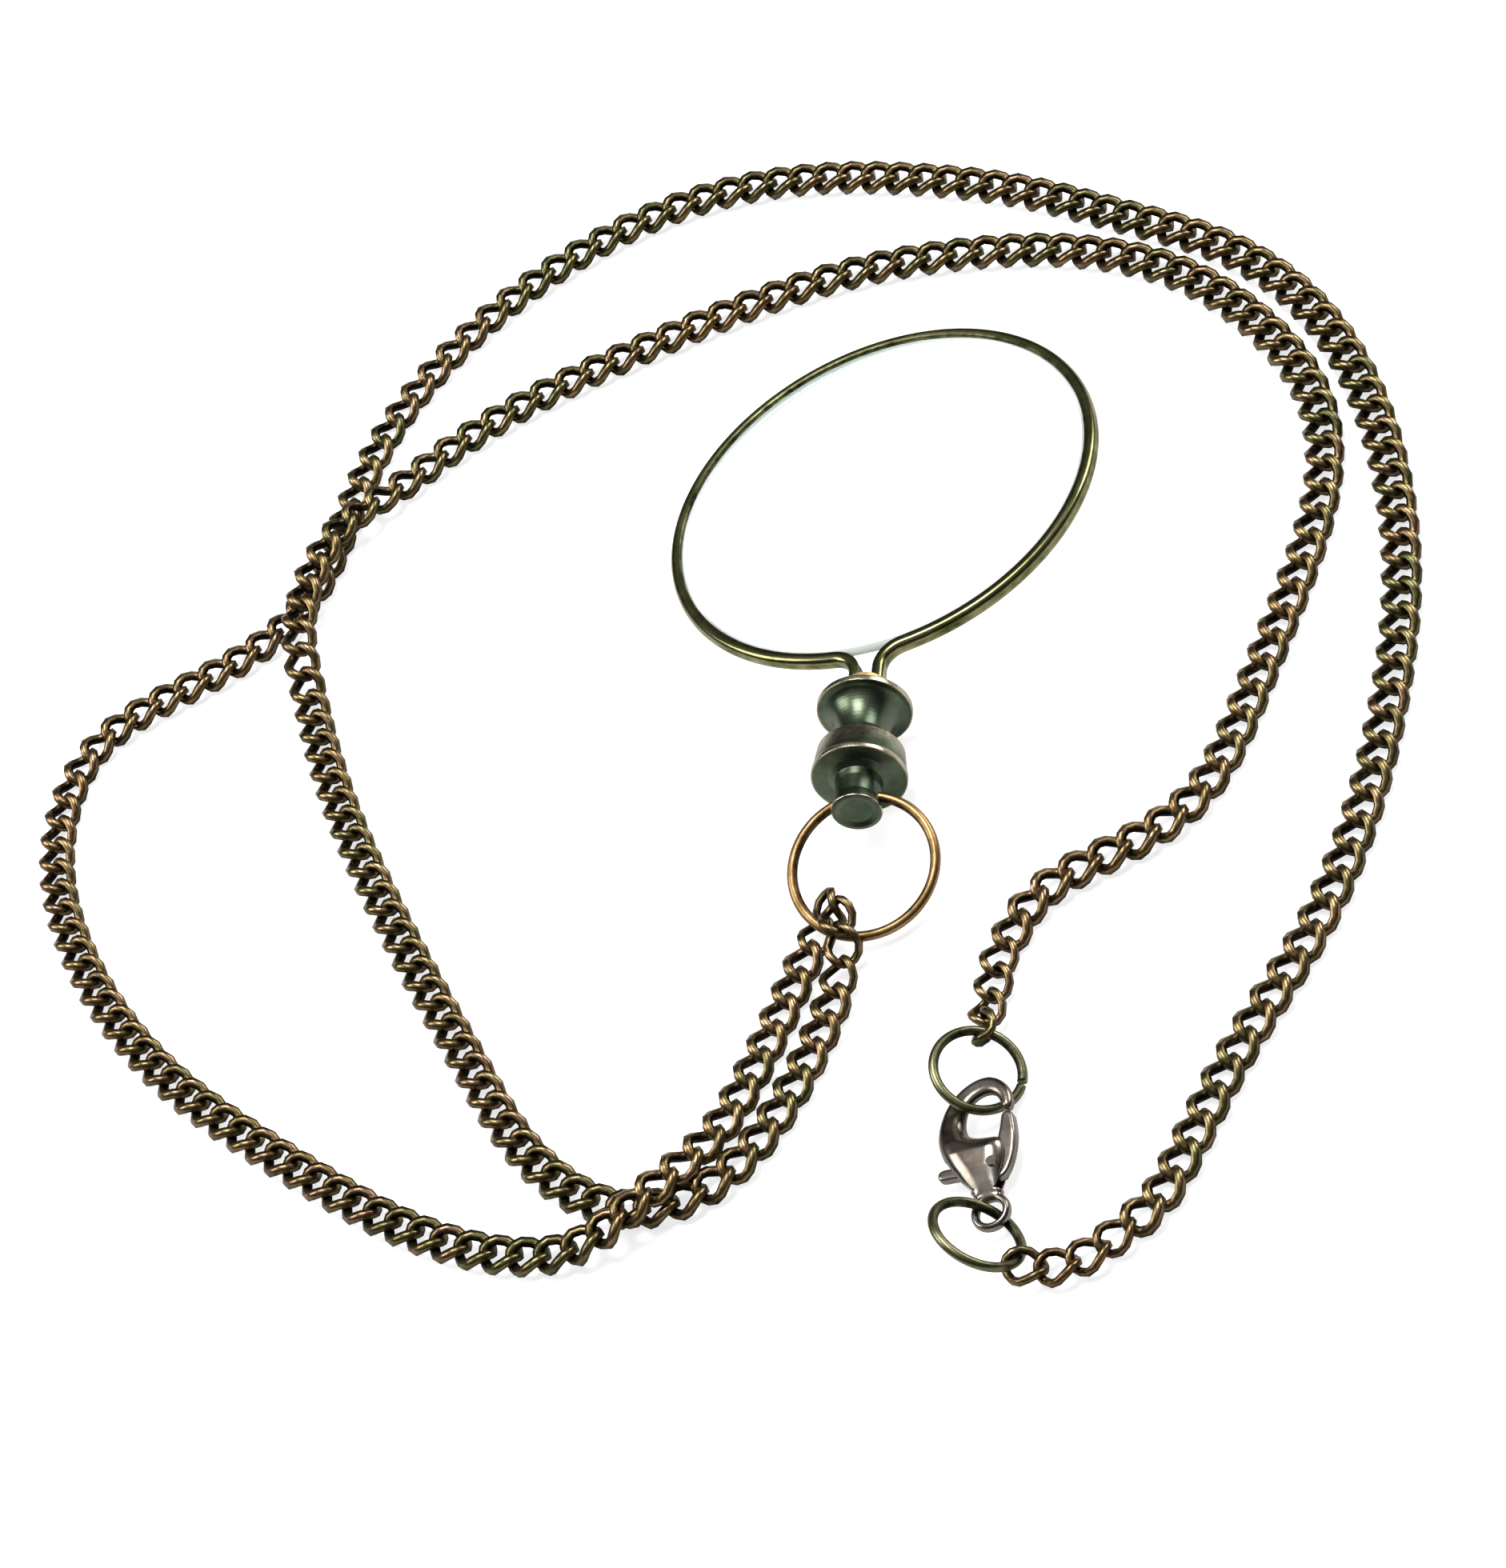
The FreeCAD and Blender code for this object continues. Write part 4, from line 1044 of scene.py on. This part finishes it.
def make_table():
    """White card under the object, wide enough to fill every view."""
    corners = np.array([[-1, -1, 0], [1, -1, 0], [1, 1, 0], [-1, 1, 0]]) * TABLE_HALF
    table = new_piece("table", corners + AIM * [1, 1, 0], [[0, 1, 2, 3]], smooth=False)
    table.data.materials.append(white_table())


def make_camera():
    """Camera on the line from the aim, rolled about it."""
    azimuth, elevation, roll = np.radians([CAMERA_AZIMUTH, CAMERA_ELEVATION, CAMERA_ROLL])
    back = np.array([math.cos(elevation) * math.cos(azimuth),
                     math.cos(elevation) * math.sin(azimuth), math.sin(elevation)])
    level = unit(np.cross([0.0, 0.0, 1.0], back))
    upright = np.cross(back, level)
    right = level * math.cos(roll) + upright * math.sin(roll)
    up = upright * math.cos(roll) - level * math.sin(roll)
    camera = bpy.data.cameras.new("camera")
    camera.sensor_width = SENSOR
    camera.lens = FOCAL_PIXELS / PICTURE_HIGH * SENSOR
    camera.clip_start = 0.01
    holder = in_scene("camera", camera)
    turn_to(holder, AIM + back * CAMERA_DISTANCE, right, up, back)
    bpy.context.scene.camera = holder


def make_world():
    """Studio room: bright above, darker towards the horizon."""
    world = bpy.data.worlds.new("studio")
    bpy.context.scene.world = world
    world.use_nodes = True
    nodes, links = world.node_tree.nodes, world.node_tree.links
    nodes.clear()
    place = nodes.new("ShaderNodeTexCoord")
    split = nodes.new("ShaderNodeSeparateXYZ")
    ramp = nodes.new("ShaderNodeValToRGB")
    stops = ramp.color_ramp.elements
    while len(stops) < len(ROOM):
        stops.new(0.5)
    for stop, (height, white) in zip(stops, ROOM):
        stop.position = height
        stop.color = colour4(white, white, white)
    background = nodes.new("ShaderNodeBackground")
    output = nodes.new("ShaderNodeOutputWorld")
    links.new(place.outputs["Generated"], split.inputs[0])
    links.new(split.outputs["Z"], ramp.inputs["Fac"])
    links.new(ramp.outputs["Color"], background.inputs["Color"])
    links.new(background.outputs["Background"], output.inputs["Surface"])


make_table()
make_world()
lamp("key", (0.02, 0.12, 0.62), (0.30, 0.30), 2.9)
lamp("left", (-0.46, -0.02, 0.40), (0.32, 0.36), 1.7)
lamp("right", (0.40, 0.36, 0.26), (0.26, 0.26), 1.3)
make_camera()
bpy.context.scene.view_settings.view_transform = "Standard"
